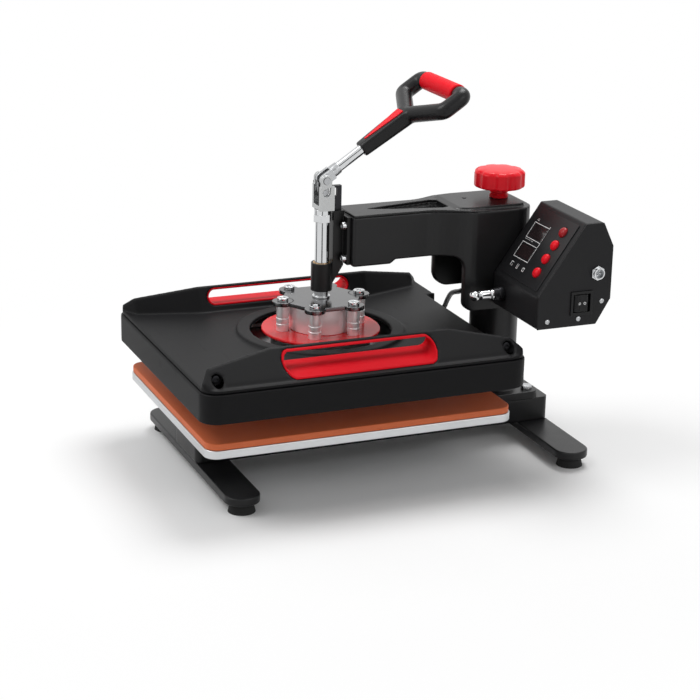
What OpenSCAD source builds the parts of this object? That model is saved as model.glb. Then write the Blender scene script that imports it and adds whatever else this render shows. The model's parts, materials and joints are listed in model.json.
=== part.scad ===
// Swing-away flat heat press: a heated platen hangs on a sliding shaft under an arm that turns on a
// column, and a cranked handle drives the shaft down onto a padded lower platen.
// The front of the press faces -Y, the operator's right hand is +X, and the table is Z = 0.

/* [Base] */
// Length of the two cross legs
leg_l = 320; // [280:5:336]
// Depth of a cross leg, front to back
leg_d = 42; // [36:1:60]
// Thickness of the leg bars
leg_h = 10; // [8:0.5:14]
// Width of the spine channel
spine_w = 84; // [70:1:110]
// Height of the spine channel
spine_h = 30; // [24:1:40]
// Sheet thickness of the spine channel
spine_t = 4; // [3:0.5:6]
// Radius of a rubber foot
foot_r = 16; // [12:0.5:18]
// Height of a rubber foot
foot_h = 12; // [8:0.5:18]
// Radius of the pedestal under the lower platen
pedestal_r = 58; // [50:1:75]
// Height of that pedestal
pedestal_h = 18.5; // [14:0.5:30]

/* [Platens] */
// Width of the heated and the lower platen
platen_w = 305; // [280:1:315]
// Depth of the heated and the lower platen
platen_d = 381; // [350:1:386]
// Thickness of the lower platen
platen_t = 10; // [6:0.5:14]
// Thickness of the silicone pad
pad_t = 8; // [5:0.5:12]

/* [Heating head] */
// Gap between the sides of the heated platen and the skirt
platen_side_gap = 13.5; // [12:0.5:18]
// Gap between the ends of the heated platen and the skirt
platen_end_gap = 5.5; // [4:0.5:10]
// Height of the skirt
skirt_h = 34.6; // [30:0.2:42]
// Corner radius of the skirt
skirt_r = 21; // [14:1:30]
// Wall of the skirt
skirt_wall = 4; // [3:0.5:6]
// Thickness of the heated platen
heater_t = 14; // [10:0.5:18]
// How far the heated platen stands out below the skirt
heater_proud = 2; // [1:0.5:4]
// How far the shaft stands behind the middle of the platen
shaft_back = 4; // [0:0.5:8]
// Height of the cover's floor over the skirt
floor_rise = 4.4; // [3.5:0.1:7]
// Wall of the moulded cover
cover_wall = 2.5; // [2:0.1:3]
// How far the cover stands in from the skirt
cover_inset = 2; // [1:0.5:4]
// Height of the side wings over the skirt
wing_h = 34; // [30:0.5:38]
// Slope of the wings' outer face, in degrees
wing_slope = 38.9; // [36:0.1:42]
// Width of a wing at its foot
wing_w = 60; // [56:0.5:62]
// Level wing in front of and behind the hand opening
grip_margin = 18.5; // [16:0.5:30]
// Height of the hand opening at the outer face
grip_h = 22; // [18:0.5:22]
// Wall of the hand opening's liner
liner_wall = 2.4; // [1.6:0.1:3]
// Outer radius of the raised ring
ring_r = 101; // [92:1:104]
// Radius of the hole in the ring
ring_hole_r = 85; // [78:1:88]
// Height of the ring over the floor
ring_rise = 3.5; // [2:0.5:5]

/* [Hub] */
// Radius of the pressure disc
disc_r = 71.5; // [66:0.5:74]
// Thickness of the pressure disc
disc_t = 3; // [2:0.5:5]
// Radius of the boss that carries the disc
boss_r = 60; // [52:1:64]
// How far the disc stands over the ring
disc_rise = 1.5; // [0.5:0.5:4]
// Radius of the polished drum
drum_r = 38; // [30:0.5:39]
// Height of the drum and the standoffs
drum_h = 32; // [26:0.5:40]
// Radius of the standoffs' circle
standoff_circle = 49; // [48:0.5:52]
// Radius of a standoff
standoff_r = 7.5; // [6:0.5:8]
// Thickness of the lobed hub plate
hub_t = 5; // [4:0.5:8]
// Radius of a lobe of the hub plate
lobe_r = 12.5; // [11:0.5:14]
// Height of the ring nut on the hub plate
hub_nut_h = 2.5; // [2:0.5:4]

/* [Shaft and lever] */
// Radius of the press shaft
shaft_r = 8.5; // [7.5:0.1:9]
// Travel of the heated platen
stroke = 27; // [20:0.5:27]
// Gap between the closed platens
press_gap = 0.5; // [0.5:0.1:2]
// Radial clearance of a running fit
running = 0.05; // [0.02:0.01:0.08]
// Outer radius of the guide sleeve
sleeve_r = 12.8; // [12.5:0.1:14]
// Height of the guide sleeve
sleeve_h = 34; // [28:0.5:40]
// Wall of the bush in the guide sleeve
bush_wall = 2; // [1.5:0.1:2.4]
// Bare shaft between the guide sleeve and the lock nut
bare_l = 50; // [44:0.5:60]
// Height of the lock nut
lock_nut_h = 15; // [10:0.5:18]
// Height of the clevis base
clevis_base = 6; // [5:0.5:8]
// Inside width of the clevis
clevis_gap = 17; // [16.5:0.1:19]
// Thickness of a clevis cheek
cheek_t = 4.5; // [4:0.1:6]
// Depth of the clevis, front to back
clevis_d = 18; // [16:0.5:18.5]
// Distance from the lever's pivot to its crank pin
crank = 14.5; // [14.5:0.1:15]
// Radius of the pivot stubs
pivot_r = 4.2; // [3.5:0.1:4.5]
// Radius of the crank pin
crank_pin_r = 2.5; // [2:0.1:3]
// Angle of the raised handle over the horizontal, in degrees
handle_angle = 33.5; // [30:0.5:40]
// Radius of the chrome rod
rod_r = 6.2; // [5:0.1:7]
// Distance from the pivot to the handle's stem
stem_start = 57; // [50:1:65]
// Distance from the pivot to the handle's fork
fork_at = 126; // [118:1:132]
// Distance from the pivot to the grip bar
grip_at = 181; // [175:1:190]
// Half width of the grip, to the middle of its limbs
grip_half = 57.5; // [52:0.5:60]
// Radius of the fork's limbs
limb_r = 10.2; // [9:0.1:10.4]
// Radius of the grip sleeve
sleeve_grip_r = 11.2; // [10:0.1:13]
// Radius of the bar inside the grip sleeve
grip_bar_r = 7; // [5:0.5:9]
// Bend of the fork's corners
corner_r = 6; // [4:0.5:9]
// Bare bar between the grip sleeve and the limb
sleeve_gap = 4; // [3:0.5:6]

/* [Arm] */
// Half width of the arm at its front
arm_half = 28; // [26:0.5:30]
// Half width of the arm's rear housing
yoke_half = 46; // [44:0.5:50]
// Distance from the shaft to the arm's front face
arm_front = 29; // [28.5:0.5:32]
// Gap between the skirt's rear and the column
column_gap = 6; // [5:0.5:10]
// Underside of the arm over the skirt's bottom
arm_low = 122; // [120:0.5:126]
// Top of the arm casting over the skirt's bottom
arm_top = 181; // [176:0.5:186]
// Depth of the relief under the arm
arm_relief = 5; // [3:0.5:8]
// Thickness of the top cover
top_cover_t = 3; // [2:0.5:4]
// Height of the cover's raised rear
hump_h = 1.5; // [1:0.5:4]
// Reach of the yoke's cheeks in front of the column axis
yoke_reach = 64; // [60:0.5:68]
// Thickness of the yoke's cheeks
yoke_wall = 12; // [10:0.5:14]
// Bottom of the near cheek over the skirt's bottom
near_cheek_low = 58; // [56:0.5:64]
// Bottom of the far cheek over the skirt's bottom
far_cheek_low = 68; // [60:0.5:74]
// Radius of the column
column_r = 30; // [27:0.5:33]
// Radius of the column's journal
journal_r = 18; // [15:0.5:20]
// Outer radius of the swing bearing's barrel
barrel_r = 29; // [27:0.5:31]
// Wall of a swing bush
swing_bush_wall = 3; // [2:0.5:4]
// Radius of the pressure knob
knob_r = 31.4; // [26:0.2:36]
// Number of flutes on the knob
knob_flutes = 9; // [6:1:12]
// Height of the knob's head
knob_h = 21; // [16:0.5:26]
// Height of the knob's neck
knob_neck_h = 13.5; // [10:0.5:18]
// Radius of the pressure screw
screw_r = 6; // [5:0.5:7]

/* [Control box] */
// Width of the control box
box_w = 116; // [110:1:118]
// Bottom of the box over the skirt's bottom
box_low = 66; // [62:0.5:70]
// Height of the box's upright front
box_lip = 39; // [36:0.5:44]
// Height of the sloping panel
panel_rise = 84; // [80:0.5:88]
// Depth of the sloping panel
panel_run = 59; // [56:0.5:62]
// Reach of the box in front of the column axis
box_reach = 26; // [22:0.5:28]
// Depth of the box's flat top
box_top_d = 23; // [20:0.5:28]
// Wall of the box
box_wall = 3; // [2:0.5:4]
// Radius of a push button
button_r = 6.5; // [5:0.1:7]
// Travel of a push button
button_travel = 1.5; // [1:0.1:2]
// Height of a button over the panel
button_h = 4; // [3:0.5:6]
// Clearance round a button
button_gap = 0.3; // [0.2:0.05:0.4]
// Width and height of the power switch's frame
switch_w = 29; // [28:0.5:34]
// Radius of the accessory socket
socket_r = 9; // [7:0.5:10]
// Travel of the locking pin
pin_travel = 6; // [4:0.5:8]
// Radius of the locking pin
pin_r = 4; // [3:0.1:4.5]

/* [Hidden] */
$fn = 64;

// Heights over the table, from the feet up
leg_z = foot_h;
spine_z = leg_z + leg_h;
deck_z = spine_z + spine_h;
platen_z = deck_z + pedestal_h;
pad_z = platen_z + platen_t;
head_z = pad_z + pad_t + press_gap + stroke + heater_proud;

// Heights over the skirt's bottom
floor_z = skirt_h + floor_rise;
ring_z = floor_z + ring_rise;
disc_z = ring_z + disc_rise;
hub_z = disc_z + drum_h;
hub_top = hub_z + hub_t;
nut_play = 6.5;
sleeve_z = hub_top + hub_nut_h + nut_play;
sleeve_top = sleeve_z + sleeve_h;
nut_z = sleeve_top + bare_l;
clevis_z = nut_z + lock_nut_h;
crank_drop = 15.7;
pin_z = clevis_z + clevis_base + crank_drop;
pivot_z = pin_z + crank;
heater_top = heater_t - heater_proud;

// Plan of the head and of the whole press
skirt_w = platen_w + 2 * (platen_side_gap + skirt_wall);
skirt_d = platen_d + 2 * (platen_end_gap + skirt_wall);
head_y = -shaft_back;
cover_x = skirt_w / 2 - cover_inset;
wing_foot_x = cover_x - wing_w;
front_y = head_y - skirt_d / 2;
rear_edge = head_y + skirt_d / 2;
column_y = rear_edge + column_gap + column_r;
yoke_front = column_y - yoke_reach;
box_front = column_y - box_reach;
box_back_run = 14;
gland_l = 14;
box_back = box_front + panel_run + box_top_d + box_back_run;
rear_y = box_back + gland_l;
mid_y = (front_y + rear_y) / 2;
leg_setback = 54;
leg_behind = 40;
front_leg_y = front_y + leg_setback;
rear_leg_y = column_y + leg_behind;
foot_margin = 4;
foot_x = leg_l / 2 - foot_r - foot_margin;

// Panel of the control box, as an angle and a length
box_x = yoke_half;
panel_angle = atan2(panel_rise, panel_run);
panel_l = norm([panel_run, panel_rise]);
panel_t = 1.2;
panel_x = box_x + box_w / 2;
panel_half = 47;

// Places on the panel: across from the box's middle, and up the slope
button_x = 26.5;
button_s = [81, 63, 44, 25];
window_s = [67, 40];
window_w = 37;
window_h = 22;
window_x = -21;
window_edge = 6;

// Route of the heater cable, from the skirt's rear gland up to the yoke
cable_r = 3.2;
cable_bore = cable_r + 0.3;
cable_gland_l = 8;
cable_bore_l = 12;
cable_from_side = 66;
cable_x = cable_from_side - skirt_w / 2;
cable_z = 12;
cable_in_x = -12;
cable_in_y = column_y - 19.5;
cable_in_z = 69;
cable_start = rear_edge;
cable_route = [[cable_x, cable_start + 2, cable_z], [cable_x, cable_start + 9, cable_z],
    [cable_x + 1, cable_start + 14, 14], [cable_x + 5, cable_start + 16, 19],
    [cable_x + 12, cable_start + 15, 27], [cable_x + 22, cable_start + 13, 36],
    [cable_x + 35, cable_start + 10, 45], [cable_x + 51, cable_start + 7, 52],
    [cable_x + 66, cable_start + 5, 57], [cable_x + 78, cable_start + 4, 62],
    [cable_in_x - 4, cable_in_y - 11, 67], [cable_in_x, cable_in_y - 6, cable_in_z],
    [cable_in_x, cable_in_y, cable_in_z]];

module placed() { translate([0, -mid_y, 0]) children(); }
module on_head() { translate([0, 0, head_z]) children(); }
module on_handle() {
    translate([0, 0, head_z + pivot_z]) rotate([handle_angle, 0, 0]) children();
}
module on_panel(x, s) {
    translate([panel_x + x, box_front, head_z + box_low + box_lip])
        rotate([panel_angle, 0, 0]) translate([0, s, 0]) children();
}
module along_x(l) { rotate([90, 0, 90]) linear_extrude(l) children(); }
module along_y() { rotate([-90, 0, 0]) children(); }
module both_sides() {
    children();
    mirror([1, 0, 0]) children();
}
module at_corners(x, y) {
    for (i = [-1, 1], j = [-1, 1]) translate([i * x, j * y]) children();
}
module round_rect(w, d, r) {
    union() {
        square([w - 2 * r, d], center = true);
        square([w, d - 2 * r], center = true);
        at_corners(w / 2 - r, d / 2 - r) circle(r);
    }
}
module tube(r_out, r_in, h) {
    difference() {
        cylinder(r = r_out, h = h);
        translate([0, 0, -1]) cylinder(r = r_in, h = h + 2);
    }
}
module hex(r, h) { cylinder(r = r, h = h, $fn = 6); }
module around_hub() { for (i = [0 : 5]) rotate(30 + 60 * i) translate([standoff_circle, 0]) children(); }

// Base
bolt_r = 4;
bolt_head = 5;
bolt_hex = 7;
bolt_play = 0.2;
pedestal_plate = 5;
column_flange = 10;
column_bolt_x = 32;
column_bolt_y = 34;
pedestal_bolt = (pedestal_r - 12) / 1.5;
spine_corner = 8;
spine_front = front_leg_y - leg_d / 2;
spine_back = rear_leg_y + leg_d / 2;

module base_spine() {
    color("#1c1c1e") difference() {
        translate([0, (spine_front + spine_back) / 2, spine_z]) linear_extrude(spine_h)
            round_rect(spine_w, spine_back - spine_front, spine_corner);
        translate([0, (spine_front + spine_back) / 2, spine_z - 1])
            linear_extrude(spine_h - spine_t + 1)
            round_rect(spine_w - 2 * spine_t, spine_back - spine_front - 2 * spine_t,
                spine_corner - spine_t);
        translate([0, 0, spine_z]) base_bolt_places() cylinder(r = bolt_r, h = spine_h + 1);
    }
}
module base_bolt_places() {
    translate([0, column_y]) at_corners(column_bolt_x, column_bolt_y) children();
    around_pedestal() children();
}
module around_pedestal() { for (i = [0 : 3]) rotate(45 + 90 * i) translate([pedestal_bolt, 0]) children(); }
module cross_leg(y) {
    translate([0, y, leg_z]) linear_extrude(leg_h) round_rect(leg_l, leg_d, leg_d / 2 - 1);
}
module front_leg() { color("#1c1c1e") cross_leg(front_leg_y); }
module rear_leg() { color("#1c1c1e") cross_leg(rear_leg_y); }
module rubber_feet() {
    color("#2a2a2c") for (y = [front_leg_y, rear_leg_y], i = [-1, 1]) translate([i * foot_x, y, 0])
        rotate_extrude() polygon([[0, 0], [foot_r, 0], [foot_r - 3, foot_h], [0, foot_h]]);
}
module support_pedestal() {
    stem_r = 22;
    spread = 12;
    color("#1c1c1e") translate([0, 0, deck_z]) difference() {
        union() {
            cylinder(r = pedestal_r, h = pedestal_plate);
            cylinder(r = stem_r, h = pedestal_h);
            translate([0, 0, pedestal_h - pedestal_plate])
                cylinder(r = pedestal_r + spread, h = pedestal_plate);
        }
        around_pedestal() translate([0, 0, -1]) cylinder(r = bolt_r + bolt_play, h = pedestal_plate + 2);
    }
}
module base_bolts() {
    color("#b9bcc0") {
        translate([0, column_y, deck_z]) at_corners(column_bolt_x, column_bolt_y) bolt(column_flange);
        translate([0, 0, deck_z]) around_pedestal() bolt(pedestal_plate);
    }
}
module bolt(grip) {
    translate([0, 0, grip]) hex(bolt_hex, bolt_head);
    translate([0, 0, -spine_t]) cylinder(r = bolt_r, h = grip + spine_t);
}
platen_corner = 16;
module lower_platen() {
    color("#9a9da1") translate([0, head_y, platen_z]) linear_extrude(platen_t)
        round_rect(platen_w, platen_d, platen_corner);
}
module silicone_pad() {
    color("#d96a3a") translate([0, head_y, pad_z]) linear_extrude(pad_t)
        round_rect(platen_w - 2, platen_d - 2, platen_corner);
}

// Column and swing bearing
bush_flange = 3;
bearing_low = near_cheek_low + 2;
shoulder_z = bearing_low - bush_flange;
journal_top = arm_top - 20;
column_wall = 6;
screw_depth = 40;
screw_play = 0.3;
module column() {
    flange_w = 2 * column_bolt_x + 26;
    flange_d = 2 * column_bolt_y + 24;
    color("#1c1c1e") translate([0, column_y, 0]) difference() {
        union() {
            translate([0, 0, deck_z]) linear_extrude(column_flange) round_rect(flange_w, flange_d, 10);
            translate([0, 0, deck_z]) cylinder(r = column_r, h = head_z + shoulder_z - deck_z);
            translate([0, 0, deck_z]) cylinder(r = journal_r, h = head_z + journal_top - deck_z);
            translate([0, 0, deck_z + column_flange]) rotate_extrude()
                polygon([[column_r - 1, 0], [column_r + 4, 0], [column_r - 1, 5]]);
        }
        at_corners(column_bolt_x, column_bolt_y) translate([0, 0, deck_z - 1])
            cylinder(r = bolt_r + bolt_play, h = column_flange + 2);
        translate([0, 0, deck_z - 1])
            cylinder(r = journal_r - column_wall, h = head_z + shoulder_z - deck_z - column_wall);
        translate([0, 0, head_z + journal_top - screw_depth])
            cylinder(r = screw_r + screw_play, h = screw_depth + 1);
    }
}
module swing_bushes() {
    bush_h = 26;
    outer = journal_r + running + swing_bush_wall;
    color("#b58a4a") translate([0, column_y, head_z]) {
        translate([0, 0, bearing_low]) tube(outer, journal_r + running, bush_h);
        translate([0, 0, shoulder_z + 0.05]) tube(barrel_r - 1, journal_r + running, bush_flange - 0.05);
        translate([0, 0, journal_top - bush_h]) tube(outer, journal_r + running, bush_h);
    }
}

// Arm
flare_from = 95;
flare_to = 153;
flare_start = arm_front + flare_from;
flare_end = arm_front + flare_to;
arm_back = column_y + barrel_r;
function smooth(t) = t * t * (3 - 2 * t);
function arm_w(y) = arm_half + (yoke_half - arm_half)
    * smooth(min(max((y - flare_start) / (flare_end - flare_start), 0), 1));
flare = [for (i = [0 : 8]) flare_start + (flare_end - flare_start) * i / 8];
rear_r = 24;
relief_y = arm_front + 48;
slot_y = arm_front + 27;
slot_l = 100;
slot_d = 5;
rear_arc = [for (a = [0 : 15 : 90])
    [yoke_half - rear_r + rear_r * cos(a), arm_back - rear_r + rear_r * sin(a)]];
near_edge = concat([[arm_half - 2, arm_front], [arm_half, arm_front + 2]],
    [for (y = flare) [arm_w(y), y]], rear_arc);
module arm_plan() {
    far_edge = [for (i = [len(near_edge) - 1 : -1 : 0]) [-near_edge[i][0], near_edge[i][1]]];
    polygon(concat(near_edge, far_edge));
}
far_cheek_ahead = 5;
module cheek_profile(low, front, corner) {
    inner = 16;
    relief = arm_low + arm_relief;
    difference() {
        translate([front - inner, low]) square([arm_back - front + inner, arm_top - low]);
        translate([front - inner, low - 1]) square([inner, relief - inner - low + 1]);
        translate([front - inner, relief - inner]) circle(inner);
        translate([front - 1, low - 1]) difference() {
            square(corner + 1);
            translate([corner + 1, corner + 1]) circle(corner);
        }
    }
}
module arm_casting() {
    color("#222224") on_head() difference() {
        union() {
            difference() {
                translate([0, 0, arm_low]) linear_extrude(arm_top - arm_low) arm_plan();
                translate([-60, 0, 0]) along_x(120) polygon([[relief_y, arm_low - 1], [relief_y, arm_low],
                    [relief_y + 7, arm_low + arm_relief], [yoke_front, arm_low + arm_relief],
                    [yoke_front, arm_low - 1]]);
                translate([0, 0, arm_low - 1]) linear_extrude(arm_top - arm_low - 9) arm_pocket();
            }
            intersection() {
                linear_extrude(arm_top) arm_plan();
                union() {
                    translate([yoke_half - yoke_wall, 0]) along_x(yoke_wall)
                        cheek_profile(near_cheek_low, yoke_front, 12);
                    translate([-yoke_half, 0]) along_x(yoke_wall)
                        cheek_profile(far_cheek_low, yoke_front - far_cheek_ahead, 22);
                }
            }
            translate([0, column_y, bearing_low]) cylinder(r = barrel_r, h = arm_top - bearing_low);
        }
        translate([0, 0, arm_top - slot_d]) linear_extrude(slot_d + 1) teardrop_slot();
        translate([0, column_y, 0]) {
            cylinder(r = journal_r + running + swing_bush_wall, h = journal_top);
            cylinder(r = journal_r + 1, h = journal_top + 4);
            cylinder(r = screw_r + screw_play, h = arm_top + 1);
        }
        translate([cable_in_x, cable_in_y - cable_bore_l, cable_in_z]) along_y()
            cylinder(r = cable_bore, h = cable_bore_l + 0.5);
        for (z = bracket_bolt_z, i = [-1, 1]) translate([i * bracket_bolt_x, arm_front - 1, z])
            along_y() cylinder(r = bracket_bolt_r, h = bracket_bolt_l + 2);
    }
}
module arm_pocket() {
    difference() {
        translate([-arm_half + 6, arm_front + 18]) square([2 * arm_half - 12, 112]);
        translate([-arm_half, arm_front + 71]) square([2 * arm_half, 5]);
    }
}
module arm_top_cover() {
    hump_y = slot_y + slot_l + 1;
    hump_hole_r = 2.5;
    hump_top = top_cover_t + hump_h;
    hump_inset = 9;
    rim_t = 0.6;
    rim_fade = 50;
    color("#262628") on_head() difference() {
        translate([0, 0, arm_top]) union() {
            intersection() {
                linear_extrude(top_cover_t) offset_plan(1);
                translate([-60, 0, 0]) along_x(120) polygon([[0, 0], [0, top_cover_t], [hump_y, top_cover_t],
                    [hump_y + rim_fade, rim_t], [arm_back, rim_t], [arm_back, 0]]);
            }
            intersection() {
                linear_extrude(hump_top) offset_plan(hump_inset);
                translate([-60, 0, 0]) along_x(120) polygon([[hump_y, 0], [hump_y, top_cover_t],
                    [hump_y + 8, hump_top], [arm_back, hump_top], [arm_back, 0]]);
            }
        }
        translate([0, 0, arm_top - 1]) linear_extrude(top_cover_t + 2) teardrop_slot();
        translate([0, column_y, arm_top - 1])
            cylinder(r = screw_r + screw_play, h = top_cover_t + hump_h + 2);
        translate([-8, hump_y + 32, arm_top + hump_top - 2]) cylinder(r = hump_hole_r, h = 3);
    }
}
module offset_plan(inset) {
    intersection() {
        arm_plan();
        translate([inset, 0]) arm_plan();
        translate([-inset, 0]) arm_plan();
        translate([0, inset]) arm_plan();
        translate([0, -inset]) arm_plan();
    }
}
module teardrop_slot() {
    translate([0, slot_y]) polygon([[-2, 0], [7, 30], [14, 62], [20, slot_l - 8], [17, slot_l],
        [-17, slot_l], [-20, slot_l - 8], [-15, 62], [-9, 30]]);
}

// Guide bracket and its fulcrum
bracket_flange = 5;
bracket_half = 20;
bracket_low = arm_low + 1;
bracket_top = arm_top + 6;
bracket_bolt_x = 14;
bracket_bolt_r = 2.5;
bracket_bolt_l = 12;
bracket_head_r = 4.6;
bracket_head = 5;
bracket_bolt_z = [arm_low + 8, arm_top - 11];
web_half = 7;
web_front = 11.5;
web_back = arm_front - bracket_flange;
module guide_bracket() {
    color("#161617") on_head() difference() {
        union() {
            translate([-bracket_half, web_back, bracket_low])
                cube([2 * bracket_half, bracket_flange, arm_top - bracket_low]);
            translate([-web_half, 0]) along_x(2 * web_half) polygon([[web_front, sleeve_top],
                [web_front, bracket_top], [web_back + 1, bracket_top], [web_back + 1, sleeve_top - 4],
                [sleeve_r - 3, sleeve_z + 6], [0, sleeve_z + 6], [0, sleeve_top]]);
            translate([0, 0, sleeve_z]) cylinder(r = sleeve_r, h = sleeve_h);
        }
        translate([0, 0, sleeve_z - 1]) cylinder(r = shaft_r + running + bush_wall, h = sleeve_h + 2);
        translate([0, 0, sleeve_top]) cylinder(r = web_front - 0.5, h = 100);
        for (z = bracket_bolt_z, i = [-1, 1]) translate([i * bracket_bolt_x, web_back - 1, z])
            along_y() cylinder(r = bracket_bolt_r, h = bracket_flange + 2);
        translate([-tongue_half, tongue_back - tongue_leg, bracket_top - tongue_root])
            cube([2 * tongue_half, tongue_leg, tongue_root + 1]);
    }
}
module bracket_bolts() {
    color("#c9ccd0") on_head() for (z = bracket_bolt_z, i = [-1, 1])
        translate([i * bracket_bolt_x, web_back, z]) {
            along_y() cylinder(r = bracket_bolt_r, h = bracket_flange + bracket_bolt_l);
            along_y() translate([0, 0, -bracket_head]) difference() {
                cylinder(r = bracket_head_r, h = bracket_head);
                translate([0, 0, -1]) hex(bracket_head_r / 2, bracket_head / 2 + 1);
            }
        }
}
module guide_bush() {
    color("#b58a4a") on_head() translate([0, 0, sleeve_z])
        tube(shaft_r + running + bush_wall, shaft_r + running, sleeve_h);
}
tongue_half = 3;
tongue_back = 23;
tongue_root = 14;
tongue_leg = 8;
tongue_nose = crank_pin_r + 2.5;
slot_up = 0.8;
slot_down = 4.2;
module fulcrum_tongue() {
    slot_low = pin_z - crank_pin_r - slot_down;
    slot_high = pin_z + crank_pin_r + slot_up;
    bar = 2.6;
    color("#161617") on_head() translate([-tongue_half, 0]) along_x(2 * tongue_half) difference() {
        union() {
            translate([-tongue_nose, slot_low - bar])
                square([tongue_back + tongue_nose, slot_high - slot_low + 2 * bar]);
            translate([tongue_back - tongue_leg, bracket_top - tongue_root])
                square([tongue_leg, slot_low - bracket_top + tongue_root]);
        }
        translate([-crank_pin_r - 0.5, slot_low])
            square([crank + 2 * crank_pin_r + 1, slot_high - slot_low]);
    }
}

// Control box
function box_points(inset) = let (i = inset, f = i * tan(panel_angle / 2), k = i * 0.42)
    [[box_front + i, box_low + i], [box_front + i, box_low + box_lip - i * 0.32],
    [box_front + panel_run + f * 0.9, box_low + box_lip + panel_rise - i],
    [box_front + panel_run + box_top_d - i * 0.6, box_low + box_lip + panel_rise - i],
    [box_back - i, box_low + box_lip + panel_rise - 29], [box_back - i, box_low + 30 + k],
    [box_back - 18 - k, box_low + i]];
side_t = 2;
box_near = box_x + box_w;
module box_shell() {
    color("#202022") on_head() difference() {
        translate([box_x, 0, 0]) along_x(box_w - side_t) polygon(box_points(0));
        translate([box_x + box_wall, 0, 0]) along_x(box_w) polygon(box_points(box_wall));
        translate([pin_x, box_front - 1, pin_axis_z]) along_y()
            cylinder(r = pin_r + 2 * running, h = box_wall + 2);
        translate([gland_x, box_back + 1, gland_z]) rotate([90, 0, 0])
            cylinder(r = gland_r, h = box_wall + 2);
        translate([0, 0, -head_z]) panel_cuts();
    }
}
module panel_cuts() {
    for (s = button_s) on_panel(button_x, s) translate([0, 0, -box_wall - 2])
        cylinder(r = button_r + button_gap, h = box_wall + panel_t + 4);
    for (s = window_s) on_panel(window_x, s)
        cube([window_w - window_edge, window_h - window_edge, 4 * box_wall], center = true);
}
module box_side_cover() {
    color("#232325") on_head() difference() {
        translate([box_near - side_t, 0, 0]) along_x(side_t) polygon(box_points(0));
        translate([box_near - side_t - 1, switch_y, switch_z])
            cube([3 * side_t, switch_w - 4, switch_w - 4], center = true);
        translate([box_near - side_t - 1, socket_y, socket_z]) rotate([0, 90, 0])
            cylinder(r = socket_r - 2, h = 3 * side_t);
        for (p = screw_places) translate([box_near - side_t - 1, p[0], p[1]]) rotate([0, 90, 0])
            cylinder(r = box_screw_r, h = 3 * side_t);
    }
}
box_screw_r = 1.5;
box_screw_l = 8;
box_screw_head_r = 3;
box_screw_head = 2;
screw_low = 9;
screw_high = 28;
screw_front = 13;
screw_pitch = 41;
screw_rear = 12;
screw_places = [[box_front + screw_front, box_low + screw_low],
    [box_front + screw_front + screw_pitch, box_low + screw_low],
    [box_back - screw_rear, box_low + screw_high]];
module box_screws() {
    dome_r = 1.6 * box_screw_head_r;
    cross_w = 0.8;
    color("#b9bcc0") on_head() for (p = screw_places) translate([box_near, p[0], p[1]]) rotate([0, 90, 0]) {
        translate([0, 0, -box_screw_l]) cylinder(r = box_screw_r, h = box_screw_l);
        difference() {
            intersection() {
                cylinder(r = box_screw_head_r, h = box_screw_head);
                translate([0, 0, box_screw_head - 0.2 - dome_r]) sphere(r = dome_r);
            }
            for (a = [0, 90]) rotate(a) translate([0, 0, box_screw_head])
                cube([1.3 * box_screw_head_r, cross_w, box_screw_head], center = true);
        }
    }
}
module control_panel() {
    color("#0d0d0f") difference() {
        on_panel(0, panel_l / 2) translate([-panel_half, -panel_l / 2 + 6, 0])
            cube([2 * panel_half, panel_l - 12, panel_t]);
        panel_cuts();
    }
}
module display_windows() {
    color("#2a1412") for (s = window_s) on_panel(window_x, s) translate([0, 0, -box_wall - 3])
        linear_extrude(box_wall + 3 + panel_t)
        square([window_w - window_edge, window_h - window_edge], center = true);
}
module push_button(s) {
    stem_l = box_wall + 4;
    on_panel(button_x, s) {
        translate([0, 0, -stem_l]) cylinder(r = button_r, h = stem_l + panel_t + button_h - 1);
        translate([0, 0, panel_t + button_h - 1]) rotate_extrude()
            polygon([[0, 0], [button_r, 0], [button_r - 1, 1], [0, 1]]);
    }
}
module timer_button() { color("#8c1a1a") push_button(button_s[0]); }
module up_button() { color("#d8121c") push_button(button_s[1]); }
module down_button() { color("#d8121c") push_button(button_s[2]); }
module set_button() { color("#d8121c") push_button(button_s[3]); }
board_back = box_wall + 4 + button_travel + 1;
board_t = 1.6;
board_edge = 12;
post_r = 3;
post_in = 5;
post_s = board_edge + post_r + 1;
module control_board() {
    color("#2c5a3a") {
        on_panel(0, panel_l / 2) translate([-panel_half, -panel_l / 2 + board_edge, -board_back - board_t])
            cube([2 * panel_half, panel_l - 2 * board_edge, board_t]);
        post_x = panel_half - post_in;
        for (x = [-post_x, post_x], s = [post_s, panel_l - post_s]) on_panel(x, s)
            translate([0, 0, -board_back - board_t / 2])
            cylinder(r = post_r, h = board_back + board_t / 2 - box_wall);
    }
}
switch_in = 57;
switch_up = 28;
switch_y = box_front + switch_in;
switch_z = box_low + switch_up;
module switch_frame() {
    inner = switch_w - 7;
    color("#0f0f10") on_head() translate([box_near, switch_y, switch_z]) difference() {
        union() {
            translate([0, -switch_w / 2, -switch_w / 2]) cube([2, switch_w, switch_w]);
            translate([-16, -switch_w / 2 + 2, -switch_w / 2 + 2]) cube([16, switch_w - 4, switch_w - 4]);
        }
        translate([-12, -inner / 2, -inner / 2]) cube([20, inner, inner]);
    }
}
rocker_r = 13;
module power_rocker() {
    inner = switch_w - 7;
    half = inner / 2 - 0.6;
    reach = inner / 2 - 1.4;
    color("#19191b") on_head() translate([box_near - rocker_r + 3.4, switch_y, switch_z - half])
        difference() {
            linear_extrude(2 * half) intersection() {
                circle(rocker_r + 0.6);
                translate([3, -reach]) square([rocker_r, 2 * reach]);
            }
            translate([rocker_r + 10, 0, -1]) cylinder(r = 11.5, h = 2 * half + 2);
        }
}
socket_in = 76;
socket_up = 63;
socket_y = box_front + socket_in;
socket_z = box_low + socket_up;
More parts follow.
